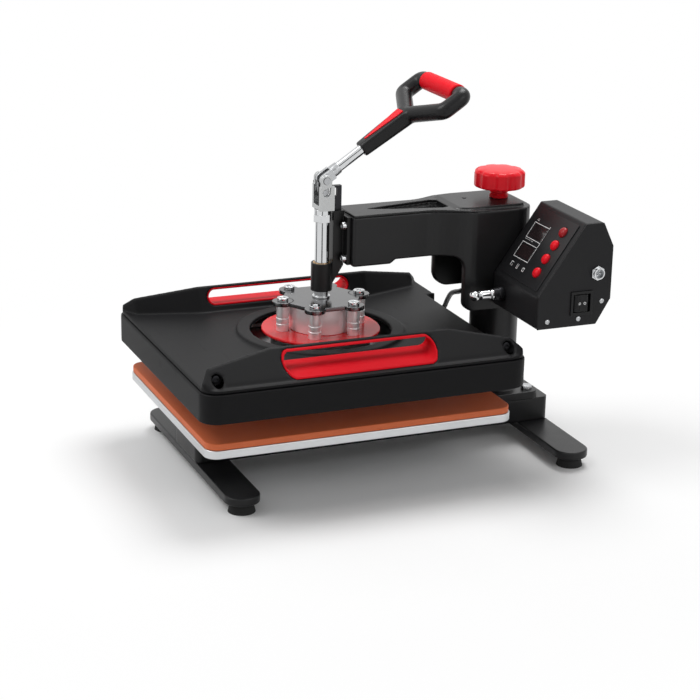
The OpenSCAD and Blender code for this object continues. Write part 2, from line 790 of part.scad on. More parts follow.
module accessory_socket() {
    color("#c9ccd0") on_head() translate([box_near, socket_y, socket_z]) rotate([0, 90, 0]) {
        difference() {
            union() {
                translate([0, 0, -12]) cylinder(r = socket_r - 2, h = 18);
                hex(socket_r, 2.5);
            }
            translate([0, 0, -4]) cylinder(r = socket_r - 3.5, h = 12);
        }
        for (i = [0 : 4]) rotate(72 * i) translate([3, 0, -5]) cylinder(r = 0.8, h = 7);
    }
}
gland_r = 6;
cord_r = 3.6;
gland_x = panel_x;
gland_z = box_low + 52;
module mains_gland() {
    color("#111112") on_head() translate([gland_x, box_back, gland_z]) along_y() {
        translate([0, 0, -box_wall - 2]) tube(gland_r, cord_r, box_wall + 3);
        rotate_extrude() polygon([[cord_r, 0], [gland_r + 3, 0], [gland_r + 3, 3], [gland_r + 1, 4],
            [cord_r + 1.6, gland_l], [cord_r, gland_l]]);
    }
}

// Locking pin on the front of the control box
pin_x = 72;
pin_axis_z = box_low + 20;
boss_l = 7;
collar_l = 6;
pin_body_l = 18;
pin_body_r = 6;
pin_ball_r = 6.4;
module pin_housing() {
    color("#1a1a1c") on_head() translate([pin_x, box_front, pin_axis_z]) along_y() {
        translate([0, 0, -boss_l]) tube(8.5, pin_r + running, boss_l);
        translate([0, 0, -boss_l - collar_l]) tube(7.4, pin_r + running, collar_l);
    }
}
module locking_pin() {
    start = -boss_l - collar_l - 0.3;
    color("#d3d6da") on_head() translate([pin_x, box_front, pin_axis_z]) along_y() {
        translate([0, 0, start - pin_body_l - 4])
            cylinder(r = pin_r, h = pin_body_l + 4 - start + box_wall + pin_travel + 2);
        translate([0, 0, start - pin_body_l]) rotate_extrude() polygon([[0, 0], [pin_body_r - 1.4, 0],
            [pin_body_r, 1.5], [pin_body_r, pin_body_l - 5], [pin_body_r - 0.8, pin_body_l - 4],
            [pin_ball_r, pin_body_l - 3], [pin_ball_r, pin_body_l], [0, pin_body_l]]);
        translate([0, 0, start - pin_body_l - pin_body_r]) sphere(r = pin_ball_r);
        translate([0, 0, box_wall + 1 + pin_travel]) cylinder(r = pin_r + 2, h = 1.5);
    }
}

// Heater cable: one smooth tube along its route
cable_last = len(cable_route) - 1;
function cable_dir(i) =
    let (d = cable_route[min(i + 1, cable_last)] - cable_route[max(i - 1, 0)]) d / norm(d);
function cable_ring(i, n) = let (t = cable_dir(i), u = cross([0, 0, 1], t), v = u / norm(u), w = cross(t, v))
    [for (k = [0 : n - 1]) cable_route[i] + cable_r * (cos(360 * k / n) * v + sin(360 * k / n) * w)];
module heater_cable() {
    n = 10;
    end = cable_last * n;
    points = [for (i = [0 : cable_last]) each cable_ring(i, n)];
    sides = [for (i = [0 : cable_last - 1], k = [0 : n - 1]) let (a = i * n + k, b = i * n + (k + 1) % n)
        each [[a, a + n, b + n], [a, b + n, b]]];
    caps = [for (k = [1 : n - 2]) each [[0, k, k + 1], [end, end + k + 1, end + k]]];
    color("#141415") on_head() polyhedron(points, concat(sides, caps));
}

// Pressure knob
knob_base = arm_top + top_cover_t + hump_h + 0.3;
knob_head = knob_base + knob_neck_h;
screw_reach = 42;
screw_grip = knob_neck_h - 4;
module pressure_knob() {
    neck_r = 11.5;
    flute_r = 8;
    flute_d = 2.4;
    crown = knob_neck_h + knob_h;
    color("#d8121c") on_head() translate([0, column_y, 0]) difference() {
        translate([0, 0, knob_base]) rotate_extrude() polygon([[0, 0], [neck_r, 0], [neck_r, 5],
            [neck_r - 1.2, 6], [neck_r, 7], [neck_r, knob_neck_h], [knob_r - 2, knob_neck_h],
            [knob_r, knob_neck_h + 2], [knob_r, crown - 3], [knob_r - 3, crown],
            [neck_r - 1.5, crown + 1.5], [0, crown + 1.5]]);
        for (i = [0 : knob_flutes - 1]) rotate(360 * i / knob_flutes)
            translate([knob_r + flute_r - flute_d, 0, knob_head - 1]) cylinder(r = flute_r, h = knob_h + 4);
        translate([0, 0, knob_base - 1]) cylinder(r = screw_r, h = screw_grip + 1);
    }
}
module pressure_screw() {
    color("#9fa3a8") on_head() translate([0, column_y, knob_base - screw_reach])
        cylinder(r = screw_r, h = screw_reach + screw_grip);
}

// Heating head: shaft and hub
drum_floor = 6;
hub_bolt_r = 4;
hub_bolt_l = 12;
hub_head_r = 6.8;
hub_head = 4;
module press_shaft() {
    color("#d3d6da") on_head() translate([0, 0, disc_z + drum_floor])
        cylinder(r = shaft_r, h = clevis_z - disc_z - drum_floor);
}
module lock_nut() {
    collar_h = 6;
    color("#c9ccd0") on_head() translate([0, 0, nut_z]) difference() {
        union() {
            rotate(30) hex(shaft_r + 2.5, lock_nut_h - collar_h);
            translate([0, 0, lock_nut_h - collar_h - 0.5]) cylinder(r = shaft_r + 1.4, h = collar_h + 0.5);
        }
        translate([0, 0, -1]) cylinder(r = shaft_r, h = lock_nut_h + 2);
    }
}
clevis_shift = 1;
module cheek_plate() {
    ear_r = 6.8;
    color("#c3c7ca") translate([clevis_gap / 2, 0, 0]) along_x(cheek_t) difference() {
        union() {
            translate([clevis_shift - clevis_d / 2, clevis_z]) square([clevis_d, pivot_z - 7 - clevis_z]);
            translate([-ear_r, pivot_z - 8]) square([2 * ear_r, 8]);
            translate([0, pivot_z]) circle(ear_r);
        }
        translate([0, pivot_z]) circle(pivot_r + running);
        translate([0, pin_z]) circle(4.6);
        polygon([[-2.5, pin_z + 3.8], [5.5, pin_z + 6.5], [4.2, pin_z]]);
    }
}
module clevis() {
    color("#c3c7ca") on_head() {
        both_sides() cheek_plate();
        translate([-clevis_gap / 2, clevis_shift - clevis_d / 2, clevis_z])
            cube([clevis_gap, clevis_d, clevis_base]);
    }
}
module pivot_cap() {
    cap_t = 5;
    cap_w = 11;
    cap_drop = 9;
    below_pivot = pivot_r + 0.4;
    color("#151516") on_head() translate([-clevis_gap / 2 - cheek_t - cap_t, 0, 0]) along_x(cap_t)
        translate([-cap_w / 2, pin_z - cap_drop]) square([cap_w, crank + cap_drop - below_pivot]);
}
module hub_nut() {
    ring_w = 2.2;
    color("#c9ccd0") on_head() translate([0, 0, hub_top]) tube(shaft_r + ring_w, shaft_r, hub_nut_h);
}
module hub_plate() {
    color("#77787b") on_head() translate([0, 0, hub_z]) difference() {
        union() {
            rotate(30) hex(standoff_circle + 3, hub_t);
            around_hub() cylinder(r = lobe_r, h = hub_t);
        }
        translate([0, 0, -1]) cylinder(r = shaft_r, h = hub_t + 2);
        around_hub() translate([0, 0, -1]) cylinder(r = hub_bolt_r, h = hub_t + 2);
    }
}
module hub_drum() {
    color("#c9ccd0") on_head() translate([0, 0, disc_z]) difference() {
        cylinder(r = drum_r, h = drum_h);
        translate([0, 0, drum_floor]) cylinder(r = shaft_r, h = drum_h);
    }
}
module standoffs() {
    groove = 0.8;
    color("#d3d6da") on_head() translate([0, 0, disc_z]) around_hub() difference() {
        cylinder(r = standoff_r, h = drum_h);
        for (f = [0.28, 0.5]) translate([0, 0, drum_h * f])
            tube(standoff_r + 1, standoff_r - groove, 1.4);
        translate([0, 0, drum_h - hub_bolt_l]) cylinder(r = hub_bolt_r, h = hub_bolt_l + 1);
    }
}
module hub_bolts() {
    color("#c9ccd0") on_head() translate([0, 0, hub_top]) around_hub() {
        translate([0, 0, -hub_t - hub_bolt_l]) cylinder(r = hub_bolt_r, h = hub_t + hub_bolt_l);
        difference() {
            cylinder(r = hub_head_r, h = hub_head);
            translate([0, 0, hub_head / 2]) hex(hub_head_r / 2, hub_head);
        }
    }
}
module pressure_disc() {
    color("#c20d16") on_head() translate([0, 0, disc_z - disc_t]) rotate_extrude()
        polygon([[0, 0], [disc_r, 0], [disc_r, disc_t - 1], [disc_r - 1, disc_t], [0, disc_t]]);
}
module pressure_boss() {
    color("#9a9da1") on_head() translate([0, 0, heater_top]) difference() {
        cylinder(r = boss_r, h = disc_z - disc_t - heater_top);
        for (i = [0 : 5]) rotate(60 * i) translate([boss_r - 18, 0, 8]) cylinder(r = 10, h = 60);
    }
}

// Heating head: cover, skirt and platen
wing_front_run = 91;
wing_rear_run = 88;
wing_places = [[-skirt_d / 2 + 2.5, 0.3], [-skirt_d / 2 + 13, 0.66], [-skirt_d / 2 + wing_front_run, 1],
    [skirt_d / 2 - wing_rear_run, 1], [skirt_d / 2 - 15, 0.6], [skirt_d / 2 - 4, 0.3]];
grip_l = skirt_d - wing_front_run - wing_rear_run - 2 * grip_margin;
rail_r = 4;
module wing_slice(y, h, inset) {
    top = h - inset / cos(wing_slope);
    run = inset / sin(wing_slope);
    r = max(rail_r - inset, 0.6);
    foot = cover_x - wing_w * h / wing_h;
    translate([0, y, skirt_h]) rotate([90, 0, 0]) linear_extrude(0.02) union() {
        polygon([[cover_x - run, 0], [cover_x - h / tan(wing_slope), top - r], [foot + run, 0]]);
        translate([cover_x - h / tan(wing_slope), top - r]) circle(r, $fn = 24);
    }
}
module wing(inset, ends) {
    translate([0, head_y, 0]) hull() for (p = wing_places)
        wing_slice(p[0] + (p[0] < 0 ? ends : -ends), wing_h * p[1], inset);
}
module stadium(l, z0, z1) {
    r = (z1 - z0) / 2;
    translate([-(l / 2 - r), (z0 + z1) / 2]) circle(r, $fn = 32);
    translate([l / 2 - r, (z0 + z1) / 2]) circle(r, $fn = 32);
}
grip_low = skirt_h + 7;
grip_tilt = 8;
grip_y = -9;
module grip_tunnel(wall) {
    z0 = grip_low - wall;
    z1 = grip_low + grip_h + wall;
    translate([0, grip_y, 0]) hull() {
        translate([cover_x, 0]) along_x(0.1) stadium(grip_l + 2 * wall, z0, z1);
        translate([wing_foot_x - 6, 0]) along_x(0.1) stadium(grip_l + 2 * wall, z0 + grip_tilt, z1);
    }
}
cover_bolt_x = cover_x - 31;
cover_bolt_z = skirt_h + 11;
cover_bolt_in = 21;
cover_bolt_y = [front_y + cover_bolt_in, rear_edge - cover_bolt_in];
cover_screw_r = 2.1;
cover_screw_l = 7;
cover_head_r = 4.4;
cover_head = 3;
cover_seat = 7;
counterbore_r = 6.4;
module cover_outline(inset) {
    translate([0, head_y]) round_rect(skirt_w - 2 * inset, skirt_d - 2 * inset, skirt_r - inset);
}
// Dip in the middle of the rear edge, clear of the column
dip_half = 95;
dip_d = 14;
dip_h = 13;
dip_t = 3;
module dip_cut(drop, half) {
    translate([-half, 0, -drop]) along_x(2 * half) polygon([[rear_edge - dip_d, floor_z],
        [rear_edge + dip_d, floor_z - 2 * dip_h], [rear_edge + dip_d, 3 * floor_z],
        [rear_edge - dip_d, 3 * floor_z]]);
}
module dip_wall() {
    half = dip_half + dip_t;
    difference() {
        translate([-half, 0, 0]) along_x(2 * half) polygon([[rear_edge - dip_d, floor_z - dip_t],
            [rear_edge - dip_d, floor_z], [rear_edge, floor_z], [rear_edge, floor_z - dip_h - dip_t]]);
        dip_cut(0, dip_half);
    }
}
module platen_cover() {
    hollow = cover_inset + cover_wall + 1.5;
    color("#242426") on_head() difference() {
        union() {
            difference() {
                intersection() {
                    translate([0, 0, skirt_h]) linear_extrude(wing_h + 2) cover_outline(cover_inset);
                    union() {
                        linear_extrude(floor_z) cover_outline(cover_inset);
                        both_sides() wing(0, 0);
                    }
                }
                translate([0, 0, skirt_h - 1]) linear_extrude(1 + floor_rise - cover_wall)
                    cover_outline(hollow);
                both_sides() wing(cover_wall + 0.5, 12);
                dip_cut(dip_t, dip_half + dip_t);
            }
            dip_wall();
            translate([0, 0, floor_z - cover_wall]) cylinder(r = ring_r, h = cover_wall + ring_rise);
            intersection() {
                both_sides() wing_core();
                linear_extrude(skirt_h + wing_h) cover_outline(cover_inset);
            }
        }
        translate([0, 0, skirt_h - 1]) cylinder(r = ring_hole_r, h = wing_h);
        both_sides() {
            grip_tunnel(liner_wall);
            for (y = cover_bolt_y) translate([cover_bolt_x, y, cover_bolt_z]) rotate([0, 90, 0]) {
                translate([0, 0, -1]) cylinder(r = cover_screw_r + 0.1, h = 40);
                translate([0, 0, cover_seat]) cylinder(r = counterbore_r, h = 40);
            }
        }
    }
}
module wing_core() {
    for (y = cover_bolt_y) translate([cover_bolt_x, y, cover_bolt_z]) rotate([0, 90, 0])
        cylinder(r = counterbore_r + 1.6, h = cover_seat + cover_head);
}
module grip_liners() {
    proud = 0.8;
    color("#d8121c") on_head() both_sides() intersection() {
        difference() {
            grip_tunnel(liner_wall);
            translate([-1, 0, 0]) grip_tunnel(0);
            translate([1, 0, 0]) grip_tunnel(0);
        }
        translate([proud, 0, 0]) wing(0, 0);
    }
}
module cover_screws() {
    color("#8d9196") on_head() both_sides() for (y = cover_bolt_y)
        translate([cover_bolt_x, y, cover_bolt_z]) rotate([0, 90, 0]) {
            translate([0, 0, cover_seat - cover_screw_l]) cylinder(r = cover_screw_r, h = cover_screw_l);
            translate([0, 0, cover_seat]) difference() {
                cylinder(r = cover_head_r, h = cover_head);
                translate([0, 0, cover_head / 2]) hex(cover_head_r / 2, cover_head);
            }
        }
}
module platen_skirt() {
    lip = 16;
    lip_t = 3.6;
    color("#1f1f21") on_head() difference() {
        union() {
            difference() {
                linear_extrude(skirt_h) cover_outline(0);
                translate([0, 0, -1]) linear_extrude(skirt_h + 2) cover_outline(skirt_wall);
            }
            translate([0, 0, skirt_h - lip_t]) linear_extrude(lip_t) difference() {
                cover_outline(1);
                cover_outline(lip);
            }
        }
        translate([cable_x, rear_edge + 1, cable_z]) rotate([90, 0, 0])
            cylinder(r = cable_stem_r, h = skirt_wall + 2);
        dip_cut(dip_t, dip_half + dip_t);
    }
}
module heated_platen() {
    color("#a5a8ab") on_head() translate([0, head_y, -heater_proud]) linear_extrude(heater_t)
        round_rect(platen_w, platen_d, platen_corner);
}
element_r = 4;
module heating_element() {
    edge = 40;
    half_x = platen_w / 2 - edge;
    half_y = platen_d / 2 - edge;
    bend = 30;
    color("#7d7f82") on_head() translate([0, head_y, heater_top + element_r + 0.05]) {
        for (i = [-1, 1]) {
            translate([i * half_x, -half_y + bend, 0]) along_y()
                cylinder(r = element_r, h = 2 * (half_y - bend));
            translate([-half_x + bend, i * half_y, 0]) rotate([0, 90, 0])
                cylinder(r = element_r, h = 2 * (half_x - bend));
        }
        for (q = [0 : 3], x = [q == 0 || q == 3 ? 1 : -1], y = [q < 2 ? 1 : -1])
            translate([x * (half_x - bend), y * (half_y - bend), 0])
            rotate(90 * q) rotate_extrude(angle = 90) translate([bend, 0]) circle(element_r);
    }
}
cable_stem_r = 5;
module cable_gland() {
    flange_r = 8;
    color("#111112") on_head() translate([cable_x, rear_edge, cable_z]) along_y() {
        translate([0, 0, -skirt_wall - 1]) tube(cable_stem_r, cable_bore, skirt_wall + 1);
        rotate_extrude() polygon([[cable_bore, 0], [flange_r, 0], [flange_r, cable_gland_l / 2],
            [cable_bore + 2, cable_gland_l], [cable_bore, cable_gland_l]]);
    }
}

// Lever and handle
sleeve_grip_half = grip_half - limb_r - sleeve_gap;
web_in = tongue_half + 1;
web_out = clevis_gap / 2 - 0.4;
web_r = 6.4;
block_from = 12;
block_to = 23;
fork_end_r = 7.6;
module lever_head() {
    color("#c9ccd0") {
        both_sides() translate([web_in, 0, head_z + pivot_z]) along_x(web_out - web_in) difference() {
            union() {
                circle(web_r);
                rotate(-90) translate([0, -crank_pin_r - 2.2]) square([crank, 2 * crank_pin_r + 4.4]);
                translate([0, -crank]) circle(crank_pin_r + 2.2);
                rotate(handle_angle) translate([0, -web_r]) square([block_from + 1, 2 * web_r]);
            }
            circle(pivot_r);
            translate([0, -crank]) circle(crank_pin_r);
        }
        on_handle() difference() {
            intersection() {
                translate([0, block_from, 0]) along_y() rotate_extrude() polygon([[0, 0], [fork_end_r, 0],
                    [fork_end_r, block_to - block_from - 5], [rod_r + 1, block_to - block_from],
                    [0, block_to - block_from]]);
                translate([-web_out, 0, -web_r]) cube([2 * web_out, 2 * block_to, 2 * web_r]);
            }
            translate([0, block_from + 3, 0]) along_y() cylinder(r = rod_r, h = 60);
        }
    }
}
module pivot_stubs() {
    stub_l = clevis_gap / 2 + cheek_t - web_in;
    color("#8d9196") translate([0, 0, head_z + pivot_z]) {
        translate([web_in, 0, 0]) rotate([0, 90, 0]) cylinder(r = pivot_r, h = stub_l + 1);
        translate([-web_in, 0, 0]) rotate([0, -90, 0]) cylinder(r = pivot_r, h = stub_l + 1);
    }
}
module crank_pin() {
    color("#8d9196") translate([-web_out, 0, head_z + pin_z]) rotate([0, 90, 0])
        cylinder(r = crank_pin_r, h = 2 * web_out);
}
rod_in_stem = 22;
module handle_rod() {
    color("#d3d6da") on_handle() translate([0, block_from + 3, 0]) along_y()
        cylinder(r = rod_r, h = stem_start + rod_in_stem - block_from - 3);
}
stem_w = 19;
stem_t = 17;
stem_corner = 4;
fork_edge = 6;
fork_w = 27;
fork_t = 20;
stem_end = fork_at - 3;
fork_lean = 24;
inlay_t = 1.6;
// The fork is one tube, from the near end of the grip bar round the stem to its far end
function unit(v) = v / norm(v);
function turned(v, a) = [v[0] * cos(a) + v[1] * sin(a), v[1] * cos(a) - v[0] * sin(a)];
fork_half = [[sleeve_grip_half, grip_at], [grip_half, grip_at],
    [grip_half, fork_at + grip_half * tan(fork_lean)]];
fork_path = concat(fork_half, [[0, fork_at]],
    [for (k = [len(fork_half) - 1 : -1 : 0]) [-fork_half[k][0], fork_half[k][1]]]);
fork_last = len(fork_path) - 1;
fork_sides = 20;
bend_steps = 6;
bend_lag = 0.15;
function end_ring(p) = [for (j = [0 : fork_sides - 1]) let (a = 360 * j / fork_sides)
    [p[0], p[1] + limb_r * cos(a), limb_r * sin(a)]];
// One ring of a bend: round on the outside, drawn back to the mitre on the inside
function bend_ring(i, k) = let (in = unit(fork_path[i] - fork_path[i - 1]),
    out = unit(fork_path[i + 1] - fork_path[i]), turn = acos(in * out), rise = tan(turn / 2),
    from = turned(in, -90), to = turned(out, -90), lag = bend_lag * (k - bend_steps / 2),
    c = fork_path[i] - corner_r * (rise * in + from))
    [for (j = [0 : fork_sides - 1]) let (a = 360 * j / fork_sides, w = corner_r + limb_r * cos(a),
        q = c + (w >= 1 ? w * turned(from, turn * k / bend_steps)
            : k <= bend_steps / 2 ? w * from + (w * rise + lag) * in
            : w * to - (w * rise - lag) * out)) [q[0], q[1], limb_r * sin(a)]];
module fork() {
    n = fork_sides;
    rings = concat([end_ring(fork_path[0])],
        [for (i = [1 : fork_last - 1], k = [0 : bend_steps]) bend_ring(i, k)],
        [end_ring(fork_path[fork_last])]);
    last = len(rings) - 1;
    end = last * n;
    sides = [for (i = [0 : last - 1], k = [0 : n - 1]) let (a = i * n + k, b = i * n + (k + 1) % n)
        each [[a, a + n, b + n], [a, b + n, b]]];
    caps = [for (k = [1 : n - 2]) each [[0, k, k + 1], [end, end + k + 1, end + k]]];
    polyhedron([for (ring = rings) each ring], concat(sides, caps));
}
module handle_body() {
    color("#19191b") on_handle() difference() {
        union() {
            hull() {
                translate([0, stem_start, 0]) along_y() linear_extrude(0.1)
                    round_rect(stem_w, stem_t, stem_corner, $fn = 24);
                translate([0, stem_end, 0]) along_y() linear_extrude(0.1)
                    round_rect(fork_w, fork_t, fork_edge, $fn = 24);
            }
            fork();
            translate([-sleeve_grip_half - 1, grip_at, 0]) rotate([0, 90, 0])
                cylinder(r = grip_bar_r, h = 2 * sleeve_grip_half + 2);
        }
        translate([0, stem_start - 1, 0]) along_y() cylinder(r = rod_r, h = rod_in_stem + 1);
        inlay_shape(inlay_t + 1);
    }
}
module inlay_shape(t) {
    half = 7.5;
    tip = 1.5;
    from = stem_start + 11;
    to = stem_end;
    lean = atan2((fork_t - stem_t) / 2, stem_end - stem_start);
    translate([0, stem_start, stem_t / 2]) rotate([lean, 0, 0]) translate([0, -stem_start, -inlay_t])
        linear_extrude(t)
        polygon([[-tip, from], [tip, from], [half, to - 6], [half, to], [-half, to], [-half, to - 6]]);
}
module stem_inlay() { color("#d8121c") on_handle() inlay_shape(inlay_t + 0.4); }
module grip_sleeve() {
    color("#d8121c") on_handle() translate([-sleeve_grip_half, grip_at, 0]) rotate([0, 90, 0])
        tube(sleeve_grip_r, grip_bar_r, 2 * sleeve_grip_half);
}

placed() base_spine();
placed() front_leg();
placed() rear_leg();
placed() rubber_feet();
placed() base_bolts();
placed() support_pedestal();
placed() lower_platen();
placed() silicone_pad();
placed() column();
placed() arm_casting();
placed() arm_top_cover();
placed() swing_bushes();
placed() guide_bracket();
placed() bracket_bolts();
placed() guide_bush();
placed() fulcrum_tongue();
placed() box_shell();
placed() box_side_cover();
placed() control_panel();
placed() display_windows();
placed() box_screws();
placed() accessory_socket();
placed() switch_frame();
placed() mains_gland();
placed() control_board();
placed() pin_housing();
placed() heater_cable();
placed() pressure_knob();
placed() pressure_screw();
placed() locking_pin();
placed() timer_button();
placed() up_button();
placed() down_button();
placed() set_button();
placed() power_rocker();
placed() press_shaft();
placed() lock_nut();
placed() clevis();
placed() pivot_cap();
placed() hub_nut();
placed() hub_plate();
placed() hub_drum();
placed() standoffs();
placed() hub_bolts();
placed() pressure_disc();
placed() pressure_boss();
placed() platen_cover();
placed() grip_liners();
placed() cover_screws();
placed() platen_skirt();
placed() heated_platen();
placed() heating_element();
placed() cable_gland();
placed() lever_head();
placed() pivot_stubs();
placed() crank_pin();
placed() handle_rod();
placed() handle_body();
placed() grip_sleeve();
placed() stem_inlay();
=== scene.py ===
"""Finishes, eased mouldings and small fittings for a swing-away flat heat press."""

import json
import math

import bpy
from bpy.props import FloatProperty, FloatVectorProperty, IntProperty, PointerProperty
from mathutils import Matrix, Vector


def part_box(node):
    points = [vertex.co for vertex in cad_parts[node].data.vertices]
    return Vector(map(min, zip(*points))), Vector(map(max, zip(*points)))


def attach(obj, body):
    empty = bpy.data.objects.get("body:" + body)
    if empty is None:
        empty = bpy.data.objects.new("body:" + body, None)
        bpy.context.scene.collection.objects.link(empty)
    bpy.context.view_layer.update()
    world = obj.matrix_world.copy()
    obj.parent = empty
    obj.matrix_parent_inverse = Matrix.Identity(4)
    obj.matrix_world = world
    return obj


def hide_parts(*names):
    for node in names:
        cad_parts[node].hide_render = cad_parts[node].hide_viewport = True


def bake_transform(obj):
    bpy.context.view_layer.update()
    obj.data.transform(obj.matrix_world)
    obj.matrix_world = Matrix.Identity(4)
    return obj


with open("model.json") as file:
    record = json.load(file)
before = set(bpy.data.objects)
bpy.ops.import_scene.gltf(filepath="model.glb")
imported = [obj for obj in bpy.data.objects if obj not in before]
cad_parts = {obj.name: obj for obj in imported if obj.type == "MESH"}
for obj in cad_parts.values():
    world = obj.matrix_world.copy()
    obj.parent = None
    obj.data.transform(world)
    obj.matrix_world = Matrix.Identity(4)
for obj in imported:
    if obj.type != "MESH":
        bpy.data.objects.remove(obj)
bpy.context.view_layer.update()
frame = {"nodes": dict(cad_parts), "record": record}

bl_info = {
    "name": "Flat heat press",
    "version": (1, 0, 0),
    "blender": (4, 5, 0),
    "location": "View3D > Sidebar > Heat press",
    "description": "Dresses a swing-away heat press in its finishes and fittings",
    "category": "Object",
}

NODES = frame["nodes"]
BODIES = frame["record"]["behaviour"]["bodies"]
BODY_OF = {node: body for body, nodes in BODIES.items() for node in nodes}
FINISHES = {}

# How far a rounded corner may stand out of its node's box before it is cleared away
SPIKE = 0.0003
# Corners closer than this are one: in a node's loose triangles, and where a spin closes
WELD = 0.000002
SPIN_WELD = 0.000005
# Degrees between faces that count as one flat, and at an edge that is rounded over
FLAT_TURN = 0.4
EDGE_TURN = 28.0
# Where the sloping panel starts, and its slope in degrees
PANEL_FOOT = (0.104, 0.150, 0.223)
PANEL_SLOPE = 54.9175


# Settings

class PressColours(bpy.types.PropertyGroup):
    """Colours of the press's finishes"""

    red: FloatVectorProperty(
        name="Red", description="Knob, grip, liners and buttons", subtype="COLOR", size=3,
        default=(0.74, 0.006, 0.016), min=0, max=1)
    dark_red: FloatVectorProperty(
        name="Dark red", description="Top push button", subtype="COLOR", size=3,
        default=(0.33, 0.008, 0.012), min=0, max=1)
    disc_red: FloatVectorProperty(
        name="Disc red", description="Painted pressure disc", subtype="COLOR", size=3,
        default=(0.62, 0.005, 0.010), min=0, max=1)
    moulding: FloatVectorProperty(
        name="Moulding black", description="Cover, skirt and handle", subtype="COLOR", size=3,
        default=(0.0046, 0.0046, 0.0051), min=0, max=1)
    paint: FloatVectorProperty(
        name="Powder coat", description="Arm, control box and base", subtype="COLOR", size=3,
        default=(0.0066, 0.0066, 0.0072), min=0, max=1)
    silicone: FloatVectorProperty(
        name="Silicone", description="Pad on the lower platen", subtype="COLOR", size=3,
        default=(0.62, 0.13, 0.035), min=0, max=1)


class PressFittings(bpy.types.PropertyGroup):
    """Sizes of the pieces that are modelled here"""

    cable_diameter: FloatProperty(
        name="Cable diameter", description="Heater cable over its jacket", default=0.0064, unit="LENGTH")
    knob_lobes: IntProperty(
        name="Knob lobes", description="Finger lobes round the pressure knob", default=9, min=5, max=14)
    knob_edge: FloatProperty(
        name="Knob edge", description="Rounding of the knob's lobes", default=0.0024, unit="LENGTH")
    knob_neck: FloatProperty(
        name="Knob neck", description="Height of the knob's neck", default=0.0135, unit="LENGTH")
    sleeve_end: FloatProperty(
        name="Grip end", description="Rounding of the grip sleeve's ends", default=0.0022, unit="LENGTH")
    button_dome: FloatProperty(
        name="Button dome", description="Height of a push button's dome", default=0.0040, unit="LENGTH")
    print_height: FloatProperty(
        name="Print height", description="Height of the lines printed on the panel", default=0.00012,
        unit="LENGTH")
    print_width: FloatProperty(
        name="Print width", description="Width of the lines printed on the panel", default=0.0007,
        unit="LENGTH")


class PressStage(bpy.types.PropertyGroup):
    """Camera"""

    camera_place: FloatVectorProperty(
        name="Camera place", description="Where the camera stands", subtype="TRANSLATION", unit="LENGTH",
        size=3, default=(2.09255, -0.90367, 0.88515))
    camera_back: FloatVectorProperty(
        name="Camera back", description="Direction from the press to the camera", size=3,
        default=(0.8735, -0.3701, 0.3163))
    camera_roll: FloatProperty(
        name="Camera roll", description="Tilt of the picture", subtype="ANGLE",
        default=math.radians(1.2))
    lens: FloatProperty(
        name="Lens", description="Focal length for a 36 mm square frame, in millimetres", default=101.5)


# Shader graphs

class Wire:
    """A shader value that takes part in ordinary arithmetic"""

    def __init__(self, tree, socket):
        self.tree = tree
        self.socket = socket

    def math(self, operation, first, second):
        node = self.tree.nodes.new("ShaderNodeMath")
        node.operation = operation
        for socket, value in zip(node.inputs, (first, second)):
            if isinstance(value, Wire):
                self.tree.links.new(value.socket, socket)
            else:
                socket.default_value = value
        return Wire(self.tree, node.outputs[0])

    def __add__(self, other):
        return self.math("ADD", self, other)

    def __radd__(self, other):
        return self.math("ADD", other, self)

    def __sub__(self, other):
        return self.math("SUBTRACT", self, other)

    def __rsub__(self, other):
        return self.math("SUBTRACT", other, self)

    def __mul__(self, other):
        return self.math("MULTIPLY", self, other)

    def __rmul__(self, other):
        return self.math("MULTIPLY", other, self)


class Finish:
    """A material whose nodes are added one method call at a time"""

    def __init__(self, name, **constants):
        self.material = bpy.data.materials.new(name)
        self.material.use_nodes = True
        self.tree = self.material.node_tree
        self.shader = self.tree.nodes["Principled BSDF"]
        for socket, value in constants.items():
            self.shader.inputs[socket.replace("_", " ")].default_value = value
        self.place = self.node("ShaderNodeTexCoord", "Object")
        FINISHES[name] = self.material

    def node(self, kind, output=0, settings=None, **sockets):
        """Adds a node, sets it up, feeds its sockets and returns one of its outputs"""
        node = self.tree.nodes.new(kind)
        for name, value in (settings or {}).items():
            setattr(node, name, value)
        for name, value in sockets.items():
            numbered = name[0] == "i" and name[1:].isdigit()
            self.feed(node.inputs[int(name[1:]) if numbered else name.replace("_", " ")], value)
        return Wire(self.tree, node.outputs[output])

    def feed(self, socket, value):
        if isinstance(value, Wire):
            self.tree.links.new(value.socket, socket)
        else:
            socket.default_value = value

    def stretched(self, scale):
        return self.node("ShaderNodeMapping", Vector=self.place, Scale=scale)

    def noise(self, scale, detail=3.0, roughness=0.55, place=None):
        return self.node("ShaderNodeTexNoise", "Fac", Vector=place or self.place, Scale=scale,
                         Detail=detail, Roughness=roughness)

    def cells(self, scale, feature="F1"):
        return self.node("ShaderNodeTexVoronoi", "Distance", {"feature": feature},
                         Vector=self.place, Scale=scale)

    def steps(self, value, low, high):
        """The value brought from low..high to 0..1, with soft ends"""
        return self.node("ShaderNodeMapRange", "Result", {"interpolation_type": "SMOOTHSTEP"},
                         Value=value, From_Min=low, From_Max=high)

    def mix(self, factor, first, second):
        return self.node("ShaderNodeMix", 2, {"data_type": "RGBA"}, i0=factor, i6=first, i7=second)

    def relief(self, height, distance):
        self.set("Normal", self.node("ShaderNodeBump", "Normal", Height=height, Distance=distance,
                                     Strength=1.0))

    def set(self, socket, value):
        self.feed(self.shader.inputs[socket], value)


def seen_rays(tree):
    """1 for what the camera, gloss and glass see, 0 for what lights the press"""
    path = tree.nodes.new("ShaderNodeLightPath")
    seen, mirrored, through = (Wire(tree, path.outputs[kind]) for kind in (
        "Is Camera Ray", "Is Glossy Ray", "Is Transmission Ray"))
    return seen + mirrored + through


